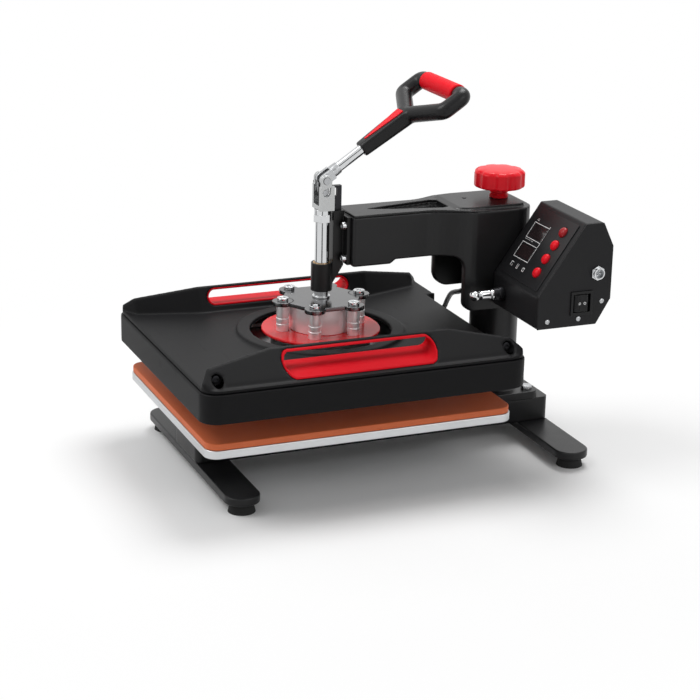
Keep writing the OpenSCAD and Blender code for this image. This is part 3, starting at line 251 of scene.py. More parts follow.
def shade(colour, factor):
    """A colour made lighter or darker, with its alpha"""
    return tuple(min(1.0, c * factor) for c in colour) + (1.0,)


def moulded(name, colour, rough, grain, depth, scuff=0.5, **constants):
    """Moulded plastic: fine spark-eroded grain, a slow change of tone and faint handling marks"""
    finish = Finish(name, **{"Specular_IOR_Level": 0.26, **constants})
    cloud = finish.noise(9.0, 2.0)
    rubs = finish.steps(finish.noise(1.0, 4.0, 0.6, finish.stretched((26.0, 140.0, 70.0))), 0.58, 0.80)
    body = finish.mix(cloud, shade(colour, 0.82), shade(colour, 1.22))
    finish.set("Base Color", finish.mix(rubs * (0.22 * scuff), body, shade(colour, 2.2)))
    speck = finish.noise(grain, 2.0)
    finish.set("Roughness", rough + (speck - 0.5) * 0.10 + (cloud - 0.5) * 0.06 + rubs * (0.10 * scuff))
    finish.relief(speck + finish.cells(grain * 0.45) * 0.6, depth)
    return finish


def powder(name, colour, rough, depth, gloss=0.30):
    """Powder coat: a soft orange peel over a fine speckle, dusted lighter here and there"""
    finish = Finish(name, Specular_IOR_Level=gloss)
    peel = finish.noise(520.0, 2.0)
    speck = finish.noise(2100.0, 1.0)
    dust = finish.steps(finish.noise(14.0, 5.0, 0.65), 0.52, 0.78)
    body = finish.mix(peel, shade(colour, 0.85), shade(colour, 1.2))
    finish.set("Base Color", finish.mix(dust * 0.16, body, shade(colour, 2.6)))
    finish.set("Roughness", rough + (peel - 0.5) * 0.12 + dust * 0.06)
    finish.relief(peel + speck * 0.4, depth)
    return finish


def metal(name, colour, rough, lay=(1.0, 1.0, 1.0), scale=60.0, marks=0.06, depth=0.00002):
    """Bare or plated metal: tool marks along one way, faint stains and a few fine scratches"""
    finish = Finish(name, Metallic=1.0)
    brushed = finish.noise(scale, 4.0, 0.6, finish.stretched(lay))
    stain = finish.noise(22.0, 3.0)
    scored = finish.noise(1.0, 3.0, 0.7, finish.stretched((420.0, 60.0, 900.0)))
    scratch = finish.steps(scored, 0.66, 0.74)
    body = finish.mix(stain, shade(colour, 0.90), shade(colour, 1.06))
    finish.set("Base Color", finish.mix(scratch * 0.35, body, shade(colour, 0.72)))
    finish.set("Roughness", rough + (brushed - 0.5) * marks * 2 + stain * 0.05 + scratch * 0.10)
    finish.relief(brushed, depth)
    return finish


def make_coats(colours):
    """Mouldings, rubbers and paints"""
    red, black = tuple(colours.red), tuple(colours.moulding)
    moulded("cover_plastic", black, 0.50, 1500.0, 0.00004, 0.8, Specular_IOR_Level=0.12)
    moulded("handle_plastic", black, 0.32, 900.0, 0.00002, 0.5, Specular_IOR_Level=0.26)
    moulded("red_plastic", red, 0.36, 1300.0, 0.00003, 0.35, Specular_IOR_Level=0.13)
    # Painted light: the knob takes the shared red made lighter, standing in for the light that falls on
    # it
    moulded("knob_red_painted_light", shade(red, 1.10)[:3], 0.30, 1300.0, 0.00002, 0.3, Specular_IOR_Level=0.20)
    # Painted shade: the grip liners take the shared red made darker, standing in for the shade in their
    # recesses
    moulded("liner_red_painted_shade", shade(red, 0.80)[:3], 0.50, 1300.0, 0.00003, 0.35, Specular_IOR_Level=0.06)
    moulded("dark_red_plastic", tuple(colours.dark_red), 0.34, 1300.0, 0.00002, 0.3)
    moulded("grip_rubber", red, 0.48, 1700.0, 0.00006, 0.5, Specular_IOR_Level=0.08)
    moulded("black_rubber", (0.012, 0.012, 0.012), 0.72, 800.0, 0.00010, 1.0)
    powder("powder_coat", tuple(colours.paint), 0.34, 0.00004)
    powder("box_black", shade(colours.paint, 1.5)[:3], 0.42, 0.00004, 0.20)
    powder("bracket_black", shade(colours.paint, 0.45)[:3], 0.36, 0.00002)

    disc = Finish("gloss_red", Specular_IOR_Level=0.12, Coat_Weight=0.12, Coat_Roughness=0.06)
    flow = disc.noise(90.0, 2.0)
    dust = disc.steps(disc.noise(35.0, 5.0, 0.7), 0.60, 0.82)
    paint = disc.mix(flow, shade(colours.disc_red, 0.92), shade(colours.disc_red, 1.06))
    disc.set("Base Color", disc.mix(dust * 0.12, paint, (0.7, 0.35, 0.33, 1)))
    disc.set("Roughness", 0.20 + dust * 0.18 + (flow - 0.5) * 0.06)
    disc.relief(flow, 0.00003)


def make_metals():
    """Bare and plated metals"""
    metal("chrome", (0.64, 0.65, 0.66), 0.07, (1, 1, 60), 8.0, 0.03, 0.000004)
    metal("fastener_steel", (0.50, 0.51, 0.52), 0.24, (1, 1, 1), 300.0, 0.08)
    metal("zinc_casting", (0.48, 0.49, 0.49), 0.30, (1, 1, 1), 420.0, 0.10, 0.00004)
    metal("tool_steel", (0.42, 0.43, 0.44), 0.28, (1, 40, 1), 9.0, 0.10)
    metal("smoked_plate", (0.15, 0.15, 0.153), 0.16, (1, 26, 1), 12.0, 0.07)
    plated = metal("satin_chrome", (0.95, 0.95, 0.955), 0.32, (1, 1, 60), 8.0, 0.06, 0.000004)
    plated.set("Metallic", 0.75)
    metal("black_oxide", (0.035, 0.035, 0.038), 0.34, (1, 1, 1), 500.0, 0.10)
    metal("platen_aluminium", (0.60, 0.61, 0.62), 0.36, (1, 60, 60), 6.0, 0.10, 0.00003)
    metal("bearing_bronze", (0.50, 0.31, 0.13), 0.32, (1, 1, 50), 7.0, 0.08)
    metal("element_steel", (0.30, 0.29, 0.28), 0.42, (1, 1, 1), 260.0, 0.10)


def make_fitting_finishes(colours):
    """Pad, panel, windows, print, circuit board and cable"""
    pad = Finish("orange_silicone")
    pores = pad.noise(1400.0, 3.0)
    weave = pad.cells(620.0)
    soot = pad.steps(pad.noise(11.0, 4.0), 0.55, 0.8)
    rubber = pad.mix(pores, shade(colours.silicone, 0.88), shade(colours.silicone, 1.08))
    pad.set("Base Color", pad.mix(soot * 0.2, rubber, shade(colours.silicone, 0.5)))
    pad.set("Roughness", 0.62 + (pores - 0.5) * 0.15)
    pad.relief(pores + weave * 0.5, 0.0002)

    film = Finish("panel_film", Specular_IOR_Level=0.3)
    satin = film.noise(2600.0, 2.0)
    shadow = film.noise(16.0, 2.0)
    film.set("Base Color", film.mix(shadow, (0.006, 0.006, 0.007, 1), (0.011, 0.011, 0.012, 1)))
    film.set("Roughness", 0.34 + (satin - 0.5) * 0.14)
    film.relief(satin, 0.00002)

    lens = Finish("display_lens", Coat_Weight=0.6, Coat_Roughness=0.04)
    tint = lens.noise(40.0, 2.0)
    lens.set("Base Color", lens.mix(tint, (0.010, 0.007, 0.008, 1), (0.022, 0.012, 0.012, 1)))
    lens.set("Roughness", 0.12 + tint * 0.06)

    ink = Finish("panel_ink")
    cover = ink.noise(900.0, 2.0)
    ink.set("Base Color", ink.mix(cover, (0.74, 0.74, 0.74, 1), (0.88, 0.88, 0.88, 1)))
    ink.set("Roughness", 0.48 + (cover - 0.5) * 0.1)

    board = Finish("circuit_board")
    track = board.steps(board.cells(240.0, "DISTANCE_TO_EDGE"), 0.03, 0.06)
    mask = board.noise(60.0, 2.0)
    copper = board.mix(track, (0.05, 0.22, 0.09, 1), (0.012, 0.10, 0.045, 1))
    board.set("Base Color", board.mix(mask * 0.3, copper, (0.02, 0.07, 0.03, 1)))
    board.set("Roughness", 0.35 + track * 0.1)
    board.relief(track, 0.00006)

    jacket = Finish("cable_jacket")
    ribs = jacket.noise(1.0, 3.0, 0.5, jacket.stretched((900.0, 900.0, 900.0)))
    dull = jacket.noise(24.0, 3.0)
    jacket.set("Base Color", jacket.mix(dull, (0.008, 0.008, 0.008, 1), (0.018, 0.018, 0.019, 1)))
    jacket.set("Roughness", 0.46 + (ribs - 0.5) * 0.12)
    jacket.relief(ribs, 0.00005)


# Modelling by hand

def deselect():
    if bpy.context.mode != "OBJECT":
        bpy.ops.object.mode_set(mode="OBJECT")
    bpy.ops.object.select_all(action="DESELECT")


def activate(piece):
    deselect()
    piece.select_set(True)
    bpy.context.view_layer.objects.active = piece


def pick(piece, accepts):
    """Selects the corners that the test accepts, with the piece in edit mode"""
    activate(piece)
    mesh = piece.data
    for group in (mesh.vertices, mesh.edges, mesh.polygons):
        group.foreach_set("select", [False] * len(group))
    for corner in mesh.vertices:
        corner.select = accepts(corner.co)
    bpy.ops.object.mode_set(mode="EDIT")
    bpy.ops.mesh.select_mode(type="VERT")


def modify(piece, kind, **settings):
    """Adds a modifier and applies it"""
    activate(piece)
    modifier = piece.modifiers.new(kind.title(), kind)
    for name, value in settings.items():
        setattr(modifier, name, value)
    bpy.ops.object.modifier_apply(modifier=modifier.name)


def smooth(piece, angle=35.0):
    activate(piece)
    bpy.ops.object.shade_smooth_by_angle(angle=math.radians(angle))
    modify(piece, "WEIGHTED_NORMAL", keep_sharp=True, weight=80)


def dress(piece, finish, body, name=None):
    """Gives a finished piece its name, its material and the body that it rides on"""
    if name:
        piece.name = name
        piece.data.name = name
    piece.data.materials.clear()
    piece.data.materials.append(FINISHES[finish])
    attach(piece, body)
    return piece


def copied(node, name):
    """A copy of a CAD node with its triangles joined, in edit mode and selected all over"""
    activate(NODES[node])
    bpy.ops.object.duplicate()
    piece = bpy.context.view_layer.objects.active
    piece.name = name
    bpy.ops.object.mode_set(mode="EDIT")
    bpy.ops.mesh.select_all(action="SELECT")
    bpy.ops.mesh.remove_doubles(threshold=WELD)
    bpy.ops.mesh.customdata_custom_splitnormals_clear()
    return piece


def stand_in(piece, node, finish):
    """Dresses a copy and puts it in its CAD node's place"""
    dress(piece, finish, BODY_OF[node])
    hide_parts(node)


def eased(node, width, finish, segments=3):
    """A copy of a CAD node with its flats cleared and its edges rounded over"""
    piece = copied(node, node + "_eased")
    bpy.ops.mesh.dissolve_limited(angle_limit=math.radians(FLAT_TURN))
    bpy.ops.mesh.select_all(action="DESELECT")
    bpy.ops.mesh.select_mode(type="EDGE")
    bpy.ops.mesh.edges_select_sharp(sharpness=math.radians(EDGE_TURN))
    bpy.ops.mesh.bevel(offset=width, offset_type="OFFSET", segments=segments, profile=0.5,
                       clamp_overlap=False, miter_outer="SHARP")
    bpy.ops.mesh.select_all(action="SELECT")
    bpy.ops.mesh.remove_doubles(threshold=WELD)
    low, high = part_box(node)
    pick(piece, lambda co: any(c < a - SPIKE or c > b + SPIKE for c, a, b in zip(co, low, high)))
    bpy.ops.mesh.dissolve_verts()
    bpy.ops.object.mode_set(mode="OBJECT")
    smooth(piece)
    stand_in(piece, node, finish)


def softened(node, grain, passes, finish, keep=1.0):
    """A copy of a CAD node as one soft moulding, its corners run into one another"""
    piece = copied(node, node + "_softened")
    bpy.ops.object.mode_set(mode="OBJECT")
    modify(piece, "REMESH", mode="VOXEL", voxel_size=grain, use_smooth_shade=True)
    modify(piece, "SMOOTH", factor=0.5, iterations=passes)
    if keep < 1:
        modify(piece, "DECIMATE", decimate_type="COLLAPSE", ratio=keep)
    smooth(piece, 60)
    stand_in(piece, node, finish)


def paint(node, finish):
    """A CAD node that keeps its shape and takes a finish"""
    NODES[node].data.materials.clear()
    NODES[node].data.materials.append(FINISHES[finish])


def settle(piece, matrix=None):
    """Puts a piece's place into its mesh, so that its object sits at the origin"""
    activate(piece)
    if matrix is not None:
        piece.matrix_world = matrix @ piece.matrix_world
        bpy.context.view_layer.update()
    bpy.ops.object.transform_apply(location=True, rotation=True, scale=True)
    return piece


def join(pieces, name):
    deselect()
    for piece in pieces:
        piece.select_set(True)
    bpy.context.view_layer.objects.active = pieces[0]
    bpy.ops.object.join()
    joined = bpy.context.view_layer.objects.active
    joined.name = name
    return joined


def spun(profile, steps=64):
    """A turned piece: a profile of (radius, height) points spun round the Z axis"""
    deselect()
    bpy.ops.mesh.primitive_plane_add(size=0.01)
    piece = bpy.context.view_layer.objects.active
    bpy.ops.object.mode_set(mode="EDIT")
    bpy.ops.mesh.select_mode(type="VERT")
    bpy.ops.mesh.select_all(action="SELECT")
    bpy.ops.mesh.merge(type="CENTER")
    bpy.ops.transform.translate(value=(profile[0][0], 0, profile[0][1]))
    for (r0, z0), (r1, z1) in zip(profile, profile[1:]):
        bpy.ops.mesh.extrude_region_move(TRANSFORM_OT_translate={"value": (r1 - r0, 0, z1 - z0)})
    bpy.ops.mesh.select_all(action="SELECT")
    bpy.ops.mesh.spin(steps=steps, angle=math.tau, center=(0, 0, 0), axis=(0, 0, 1))
    bpy.ops.mesh.select_all(action="SELECT")
    bpy.ops.mesh.remove_doubles(threshold=SPIN_WELD)
    bpy.ops.mesh.normals_make_consistent(inside=False)
    bpy.ops.object.mode_set(mode="OBJECT")
    return piece


def centre(node):
    low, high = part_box(node)
    return (Vector(low) + Vector(high)) / 2


def panel_matrix():
    """The sloping panel's own frame: across, up the slope and out of it, from the panel's foot"""
    return Matrix.Translation(PANEL_FOOT) @ Matrix.Rotation(math.radians(PANEL_SLOPE), 4, "X")


# Operators

class PRESS_OT_stage(bpy.types.Operator):
    """Camera at the viewing angle, a pale floor and soft studio light"""

    bl_idname = "press.stage"
    bl_label = "Stage"

    # Name, place, what it points at, width in metres and power in watts
    LAMPS = (
        ("softbox", (-0.4, -1.6, 2.3), (0, 0, 0.2), 1.6, 32.0),
        ("side_box", (1.9, 0.9, 1.5), (0, 0.05, 0.25), 1.1, 6.0),
        ("top_box", (-0.7, 0.7, 2.3), (0, 0, 0.25), 1.3, 34.0),
    )
    # Name, degrees round from the camera's side, distance and width
    MATS = (("mat_front", 0, 1.15, 0.30), ("mat_left", -96, 0.95, 0.34), ("mat_right", 88, 0.95, 0.26))
    MAT_LENGTH = 0.8
    FLAG_SIDE = (0.87, -0.15, 0.47)
    FLAG_DISTANCE = 2.7
    FLAG_SIZE = (0.42, 1.2)
    # Distances from the press between which the floor turns from lit to plain white
    FLOOR_FADE = (0.22, 0.75)
    SKY_LIGHT = 0.38

    def execute(self, context):
        stage = context.scene.press_stage
        back = Vector(stage.camera_back).normalized()
        level = Vector((0, 0, 1)).cross(back).normalized()
        upright = back.cross(level)
        turn = stage.camera_roll
        right = level * math.cos(turn) + upright * math.sin(turn)
        up = upright * math.cos(turn) - level * math.sin(turn)
        deselect()
        bpy.ops.object.camera_add()
        camera = context.view_layer.objects.active
        camera.name = "camera"
        place = Vector(stage.camera_place)
        camera.matrix_world = Matrix((
            (*right, 0), (*up, 0), (*back, 0), (*place, 1))).transposed()
        camera.data.sensor_width = 36.0
        camera.data.lens = stage.lens
        camera.data.clip_end = 100.0
        context.scene.camera = camera

        self.floor(context)
        self.mats(context, back)
        for lamp in self.LAMPS:
            self.lamp(context, *lamp)
        self.sky(context)
        context.scene.view_settings.view_transform = "Standard"
        return {"FINISHED"}

    def floor(self, context):
        deselect()
        bpy.ops.mesh.primitive_grid_add(x_subdivisions=8, y_subdivisions=8, size=40.0)
        floor = context.view_layer.objects.active
        floor.name = "floor"
        finish = Finish("pale_floor", Roughness=0.9)
        tone = finish.noise(3.0, 2.0)
        finish.set("Base Color", finish.mix(tone, (0.86, 0.86, 0.86, 1), (0.89, 0.89, 0.89, 1)))
        reach = finish.node("ShaderNodeVectorMath", "Value", {"operation": "LENGTH"}, i0=finish.place)
        far = finish.steps(reach, *self.FLOOR_FADE) * seen_rays(finish.tree)
        white = finish.node("ShaderNodeEmission", Color=(1, 1, 1, 1), Strength=1.0)
        lit = Wire(finish.tree, finish.shader.outputs[0])
        mixed = finish.node("ShaderNodeMixShader", i0=far, i1=lit, i2=white)
        finish.tree.links.new(mixed.socket, finish.tree.nodes["Material Output"].inputs["Surface"])
        floor.data.materials.append(finish.material)

    def mats(self, context, back):
        """Dark mats and a dark flag outside the picture, for the chrome to show"""
        finish = Finish("dark_mat", Roughness=0.9)
        nap = finish.noise(400.0, 2.0)
        finish.set("Base Color", finish.mix(nap, (0.012, 0.012, 0.012, 1), (0.02, 0.02, 0.02, 1)))
        toward = math.atan2(back.y, back.x)
        for name, turn, distance, width in self.MATS:
            angle = toward + math.radians(turn)
            place = (distance * math.cos(angle), distance * math.sin(angle), 0.001)
            self.card(context, name, place, (0, 0, angle), (self.MAT_LENGTH, width))
        side = Vector(self.FLAG_SIDE).normalized()
        place = side * self.FLAG_DISTANCE + Vector((0, 0, 0.35))
        self.card(context, "flag", place, side.to_track_quat("Z", "Y").to_euler(), self.FLAG_SIZE)

    def card(self, context, name, place, turn, size):
        """A dark card, kept out of the picture and the light so that only gloss shows it"""
        deselect()
        bpy.ops.mesh.primitive_plane_add(size=1, location=place)
        card = context.view_layer.objects.active
        card.name = name
        card.rotation_euler = turn
        card.scale = (*size, 1)
        bpy.ops.object.transform_apply(location=False, rotation=True, scale=True)
        card.data.materials.append(FINISHES["dark_mat"])
        card.visible_camera = False
        card.visible_diffuse = False
        card.visible_shadow = False

    def lamp(self, context, name, place, target, size, power):
        deselect()
        bpy.ops.object.light_add(type="AREA", location=place)
        lamp = context.view_layer.objects.active
        lamp.name = name
        lamp.rotation_euler = (Vector(target) - Vector(place)).to_track_quat("-Z", "Y").to_euler()
        lamp.data.shape = "DISK"
        lamp.data.size = size
        lamp.data.energy = power

    def sky(self, context):
        world = bpy.data.worlds.new("studio")
        context.scene.world = world
        world.use_nodes = True
        nodes, links = world.node_tree.nodes, world.node_tree.links
        light = nodes["Background"]
        light.inputs["Color"].default_value = (1, 1, 1, 1)
        light.inputs["Strength"].default_value = self.SKY_LIGHT
        white = nodes.new("ShaderNodeBackground")
        white.inputs["Color"].default_value = (1, 1, 1, 1)
        white.inputs["Strength"].default_value = 1.0
        either = nodes.new("ShaderNodeMixShader")
        links.new(seen_rays(world.node_tree).socket, either.inputs[0])
        links.new(light.outputs[0], either.inputs[1])
        links.new(white.outputs[0], either.inputs[2])
        links.new(either.outputs[0], nodes["World Output"].inputs["Surface"])


class PRESS_OT_heater_cable(bpy.types.Operator):
    """Heater cable from the head's gland up to the yoke"""

    bl_idname = "press.heater_cable"
    bl_label = "Heater cable"

    # Points along the cable's middle line, in millimetres, from the gland to the yoke
    ROUTE = (
        (-104, 142, 130), (-104, 149, 130), (-103, 154, 132), (-99, 156, 137), (-92, 155, 145),
        (-82, 153, 154), (-69, 150, 163), (-53, 147, 170), (-38, 145, 175), (-26, 144, 180),
        (-16, 145.5, 185), (-12, 150.5, 187), (-12, 156.5, 187),
    )

    def execute(self, context):
        points = [Vector(p) / 1000 for p in self.ROUTE]
        line = self.through(points)
        curve = bpy.data.curves.new("heater_cable_jacket", "CURVE")
        curve.dimensions = "3D"
        spline = curve.splines.new("POLY")
        spline.points.add(len(line) - 1)
        for point, place in zip(spline.points, line):
            point.co = (*place, 1.0)
        curve.bevel_depth = context.scene.press_fittings.cable_diameter / 2
        curve.bevel_resolution = 5
        curve.use_fill_caps = True
        cable = bpy.data.objects.new("heater_cable_jacket", curve)
        context.collection.objects.link(cable)
        activate(cable)
        bpy.ops.object.convert(target="MESH")
        bpy.ops.object.shade_smooth()
        cable.data.materials.clear()
        cable.data.materials.append(FINISHES["cable_jacket"])
        length = sum((b - a).length for a, b in zip(line, line[1:]))
        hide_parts("heater_cable")
        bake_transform(cable)
        return {"FINISHED"}

    def through(self, points, steps=4):
        """A smooth line through the points"""
        ends = [points[0] * 2 - points[1]] + points + [points[-1] * 2 - points[-2]]
        line = []
        for a, b, c, d in zip(ends, ends[1:], ends[2:], ends[3:]):
            for k in range(steps):
                t = k / steps
                line.append(0.5 * (2 * b + (c - a) * t + (2 * a - 5 * b + 4 * c - d) * t ** 2
                                   + (3 * b - a - 3 * c + d) * t ** 3))
        return line + [points[-1]]


class PRESS_OT_base(bpy.types.Operator):
    """Spine, legs, feet, column, lower platen and its pad"""

    bl_idname = "press.base"
    bl_label = "Base"

    def execute(self, context):
        softened("base_spine", 0.0013, 2, "powder_coat", 0.4)
        eased("front_leg", 0.0018, "powder_coat")
        eased("rear_leg", 0.0018, "powder_coat")
        eased("support_pedestal", 0.0010, "powder_coat")
        eased("column", 0.0010, "powder_coat")
        eased("lower_platen", 0.0010, "platen_aluminium")
        eased("silicone_pad", 0.0012, "orange_silicone")
        eased("base_bolts", 0.0005, "fastener_steel")
        paint("rubber_feet", "black_rubber")
        return {"FINISHED"}


class PRESS_OT_arm(bpy.types.Operator):
    """Arm casting, its top cover, the guide bracket and the bearings"""

    bl_idname = "press.arm"
    bl_label = "Arm"

    def execute(self, context):
        softened("arm_casting", 0.0013, 2, "powder_coat", 0.5)
        softened("arm_top_cover", 0.0008, 2, "powder_coat", 0.5)
        eased("guide_bracket", 0.0006, "bracket_black")
        eased("bracket_bolts", 0.0005, "fastener_steel")
        eased("fulcrum_tongue", 0.0005, "black_oxide")
        paint("swing_bushes", "bearing_bronze")
        paint("guide_bush", "bearing_bronze")
        return {"FINISHED"}


class PRESS_OT_control_box(bpy.types.Operator):
    """Control box with its panel, windows, socket, switch and glands"""

    bl_idname = "press.control_box"
    bl_label = "Control box"

    def execute(self, context):
        softened("box_shell", 0.0013, 10, "box_black", 0.4)
        softened("box_side_cover", 0.0007, 6, "box_black", 0.3)
        eased("control_panel", 0.0004, "panel_film")
        eased("display_windows", 0.0003, "display_lens")
        eased("box_screws", 0.00025, "fastener_steel")
        eased("accessory_socket", 0.00025, "chrome")
        eased("switch_frame", 0.0007, "handle_plastic")
        eased("power_rocker", 0.0006, "handle_plastic")
        eased("mains_gland", 0.0006, "black_rubber")
        eased("cable_gland", 0.0005, "black_rubber")
        eased("pin_housing", 0.0006, "black_oxide")
        eased("locking_pin", 0.0005, "chrome")
        paint("control_board", "circuit_board")
        return {"FINISHED"}


class PRESS_OT_panel_print(bpy.types.Operator):
    """White lines and signs printed on the panel and on the rocker"""

    bl_idname = "press.panel_print"
    bl_label = "Panel print"

    # Places on the panel in millimetres: across, up the slope, width and height
    WINDOW_FRAMES = ((-21, 67, 35.5, 20.5), (-21, 40, 35.5, 20.5))
    BARS = (
        (-35, 80.6, 5.0, 0.5), (-35, 82.4, 3.2, 0.5), (-3.25, 55, 0.7, 50),
        (-36, 54.6, 3.0, 0.5), (-31.5, 54.6, 2.4, 0.5), (-27, 54.6, 3.4, 0.5), (-21, 54.6, 4.0, 0.5),
        (-34, 20.5, 0.7, 5.5), (-31.6, 23.0, 4.6, 0.7), (-30.5, 18.6, 0.7, 3.0),
        (-19.4, 20.4, 0.7, 5.8), (-16.6, 20.4, 0.7, 5.8), (-18, 17.6, 3.4, 0.6),
    )
    SIGN_FRAME = (-3, 20.0, 3.6, 4.2)
    PANEL_FACE = 0.0012
    MARK_RADIUS = 0.0016
    MARK_REACH = 0.0034
    MARK_TILT = 17.2
    MARK_DEPTH = 0.00054

    def execute(self, context):
        fittings = context.scene.press_fittings
        self.high = fittings.print_height
        self.wide = fittings.print_width
        lines = []
        for place in self.WINDOW_FRAMES:
            lines += self.frame_lines(*place)
        lines += [self.bar(*place) for place in self.BARS]
        lines += self.frame_lines(*self.SIGN_FRAME)
        piece = join(lines, "panel_lines")
        settle(piece, panel_matrix() @ Matrix.Translation((0, 0, self.PANEL_FACE)))
        dress(piece, "panel_ink", "arm", "panel_lines")
        self.rocker_marks()
        return {"FINISHED"}

    def rocker_marks(self):
        """A ring let into each end of the rocker's face"""
        middle = centre("power_rocker")
        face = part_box("power_rocker")[1][0] - self.MARK_DEPTH
        marks = []
        for side in (-1, 1):
            tilt = Matrix.Rotation(math.radians(-self.MARK_TILT * side), 4, "Y")
            place = Matrix.Translation((side * self.MARK_REACH, 0, 0))
            marks.append(settle(self.ring(self.MARK_RADIUS), place @ tilt))
        piece = join(marks, "rocker_marks")
        settle(piece, Matrix(((0, 0, 1, face), (1, 0, 0, middle.y), (0, 1, 0, middle.z), (0, 0, 0, 1))))
        dress(piece, "panel_ink", "rocker", "rocker_marks")

    def bar(self, x, y, w, h):
        deselect()
        bpy.ops.mesh.primitive_cube_add(size=1, location=(x / 1000, y / 1000, self.high / 2))
        piece = bpy.context.view_layer.objects.active
        piece.scale = (w / 1000, h / 1000, self.high)
        bpy.ops.object.transform_apply(location=True, rotation=True, scale=True)
        return piece

    def frame_lines(self, x, y, w, h):
        t = self.wide * 1000
        return [self.bar(x, y + h / 2, w + t, t), self.bar(x, y - h / 2, w + t, t),
                self.bar(x - w / 2, y, t, h - t), self.bar(x + w / 2, y, t, h - t)]

    def ring(self, r):
        inner = r - self.wide
        return spun([(r, 0), (r, self.high), (inner, self.high), (inner, 0), (r, 0)], 32)


class PRESS_OT_buttons(bpy.types.Operator):
    """Four domed push buttons"""

    bl_idname = "press.buttons"
    bl_label = "Buttons"

    # Name, place up the slope and finish
    KEYS = (("timer", 0.081, "dark_red_plastic"), ("up", 0.063, "red_plastic"),
            ("down", 0.044, "red_plastic"), ("set", 0.025, "red_plastic"))
    ACROSS = 0.0265
    RADIUS = 0.0065
    TOP = 0.0056
    FOOT = -0.007
    FOOT_EDGE = 0.0004

    def execute(self, context):
        dome = context.scene.press_fittings.button_dome
        r, top, low, edge = self.RADIUS, self.TOP, self.FOOT, self.FOOT_EDGE
        crown = [(r * math.cos(a), top - dome + dome * math.sin(a))
                 for a in (math.radians(d) for d in (0, 12, 25, 38, 51, 64, 77))] + [(0.0, top)]
        model = spun([(0.0, low), (r - edge, low), (r, low + edge)] + crown, 48)
        smooth(model, 40)
        for name, up, finish in self.KEYS:
            activate(model)
            bpy.ops.object.duplicate()
            button = context.view_layer.objects.active
            settle(button, panel_matrix() @ Matrix.Translation((self.ACROSS, up, 0)))
            dress(button, finish, name + "_key", name + "_key_cap")
            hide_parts(name + "_button")
        activate(model)
        bpy.ops.object.delete()
        return {"FINISHED"}


class PRESS_OT_pressure_knob(bpy.types.Operator):
    """Lobed pressure knob on its ringed neck, and the screw under it"""

    bl_idname = "press.pressure_knob"
    bl_label = "Pressure knob"

    # Steps of the hollow between two lobes: half its width in degrees, and the depth it adds in mm
    FLUTE = ((10, 0.23), (8, 0.86), (6, 0.60), (4, 0.40), (2, 0.23), (0, 0.08))
    RIM_WIDTH = 0.0075

    def execute(self, context):
        fittings = context.scene.press_fittings
        low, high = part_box("pressure_knob")
        middle = centre("pressure_knob")
        r, rim, crown = (high[0] - low[0]) / 2, fittings.knob_edge, high[2] - low[2]
        top = fittings.knob_neck
        neck = [(0.0, 0.0), (0.0108, 0.0), (0.0115, 0.0006), (0.0115, 0.0040), (0.0103, 0.0052),
                (0.0103, 0.0060), (0.0115, 0.0072), (0.0115, top - 0.0008), (0.0123, top)]
        under = [(r - rim * (1 - math.sin(a)), top + rim * (1 - math.cos(a)))
                 for a in (math.radians(d) for d in (0, 25, 50, 75, 90))]
        over = [(r, crown - 0.0056), (r - 0.0006, crown - 0.0044), (r - 0.0028, crown - 0.0022),
                (r - 0.0046, crown - 0.0015)]
        dome = [(r * k, crown - 0.0015 * k * k) for k in (0.66, 0.45, 0.22)] + [(0.0, crown)]
        knob = spun(neck + under + over + dome, 180)
        pitch = 360 / fittings.knob_lobes
        for half, depth in self.FLUTE:
            def in_hollow(co):
                turn = (math.degrees(math.atan2(co.y, co.x)) + pitch / 2) % pitch - pitch / 2
                on_rim = co.z > top + 0.0001 and math.hypot(co.x, co.y) > r - self.RIM_WIDTH
                return on_rim and abs(turn) < half + 0.5

            pick(knob, in_hollow)
            scale = 1 - depth / 1000 / r
            bpy.ops.transform.resize(value=(scale, scale, 1), center_override=(0, 0, 0))
        bpy.ops.object.mode_set(mode="OBJECT")
        settle(knob, Matrix.Translation((middle.x, middle.y, low[2])))
        smooth(knob, 30)
        dress(knob, "knob_red_painted_light", "knob", "pressure_knob_head")
        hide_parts("pressure_knob")
        paint("pressure_screw", "tool_steel")
        return {"FINISHED"}


class PRESS_OT_hub(bpy.types.Operator):
    """Shaft, clevis, lobed hub plate, standoffs and the red pressure disc"""

    bl_idname = "press.hub"
    bl_label = "Hub"

    def execute(self, context):
        eased("press_shaft", 0.0008, "chrome")
        eased("lock_nut", 0.0003, "chrome")
        softened("clevis", 0.0005, 2, "zinc_casting", 0.4)
        eased("pivot_cap", 0.0008, "handle_plastic")
        eased("hub_nut", 0.0006, "chrome")
        eased("hub_plate", 0.0006, "smoked_plate")
        eased("hub_drum", 0.0008, "satin_chrome")
        eased("standoffs", 0.0003, "satin_chrome")
        eased("hub_bolts", 0.0006, "chrome")
        eased("pressure_disc", 0.0006, "gloss_red")
        paint("pressure_boss", "platen_aluminium")
        return {"FINISHED"}


class PRESS_OT_head(bpy.types.Operator):
    """Moulded cover with its red grip liners, the skirt and the heated platen"""

    bl_idname = "press.head"
    bl_label = "Heating head"

    def execute(self, context):
        softened("platen_cover", 0.0016, 4, "cover_plastic", 0.5)
        softened("grip_liners", 0.0009, 3, "liner_red_painted_shade", 0.5)
        softened("platen_skirt", 0.0015, 4, "cover_plastic", 0.4)
        eased("heated_platen", 0.0010, "platen_aluminium")
        eased("cover_screws", 0.0004, "black_oxide")
        paint("heating_element", "element_steel")
        return {"FINISHED"}


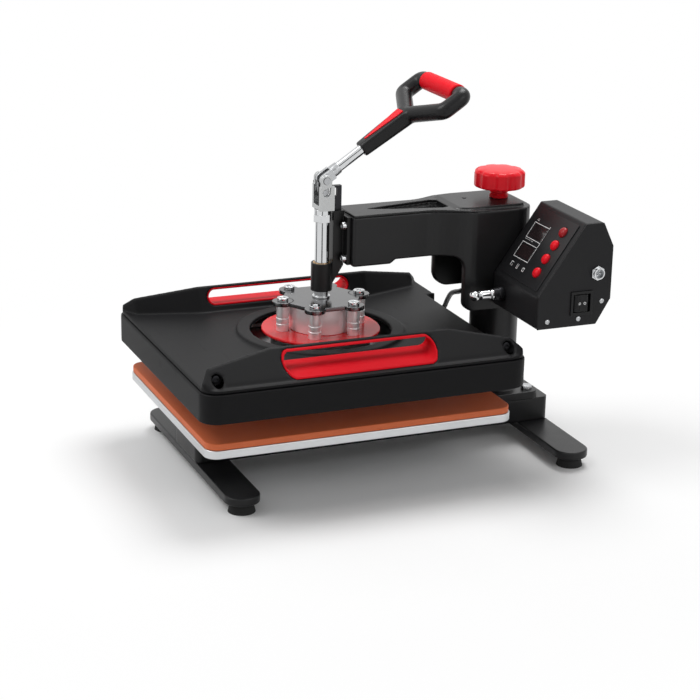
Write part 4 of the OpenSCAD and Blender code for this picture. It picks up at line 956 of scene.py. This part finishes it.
class PRESS_OT_handle(bpy.types.Operator):
    """Lever, chrome rod, forked handle and its red grip"""

    bl_idname = "press.handle"
    bl_label = "Handle"

    def execute(self, context):
        softened("lever_head", 0.0004, 2, "fastener_steel", 0.4)
        eased("handle_rod", 0.0005, "chrome")
        softened("handle_body", 0.0013, 30, "handle_plastic")
        eased("stem_inlay", 0.0003, "red_plastic")
        eased("grip_sleeve", context.scene.press_fittings.sleeve_end, "grip_rubber", 5)
        paint("pivot_stubs", "tool_steel")
        paint("crank_pin", "tool_steel")
        return {"FINISHED"}


class PRESS_PT_panel(bpy.types.Panel):
    """The press's settings and its build steps"""

    bl_idname = "PRESS_PT_panel"
    bl_label = "Heat press"
    bl_space_type = "VIEW_3D"
    bl_region_type = "UI"
    bl_category = "Heat press"

    def draw(self, context):
        scene = context.scene
        for group in (scene.press_colours, scene.press_fittings, scene.press_stage):
            box = self.layout.box()
            for name in group.__annotations__:
                box.prop(group, name)
        for operator in OPERATORS:
            self.layout.operator(operator.bl_idname)


GROUPS = (PressColours, PressFittings, PressStage)
OPERATORS = (
    PRESS_OT_stage, PRESS_OT_heater_cable, PRESS_OT_base, PRESS_OT_arm, PRESS_OT_control_box,
    PRESS_OT_panel_print, PRESS_OT_buttons, PRESS_OT_pressure_knob, PRESS_OT_hub, PRESS_OT_head,
    PRESS_OT_handle,
)


def register():
    for cls in GROUPS + OPERATORS + (PRESS_PT_panel,):
        bpy.utils.register_class(cls)
    bpy.types.Scene.press_colours = PointerProperty(type=PressColours)
    bpy.types.Scene.press_fittings = PointerProperty(type=PressFittings)
    bpy.types.Scene.press_stage = PointerProperty(type=PressStage)


def unregister():
    del bpy.types.Scene.press_stage
    del bpy.types.Scene.press_fittings
    del bpy.types.Scene.press_colours
    for cls in reversed(GROUPS + OPERATORS + (PRESS_PT_panel,)):
        bpy.utils.unregister_class(cls)


def main():
    register()
    colours = bpy.context.scene.press_colours
    make_coats(colours)
    make_metals()
    make_fitting_finishes(colours)
    for operator in OPERATORS:
        group, name = operator.bl_idname.split(".")
        getattr(getattr(bpy.ops, group), name)()
    deselect()


if __name__ == "__main__":
    main()
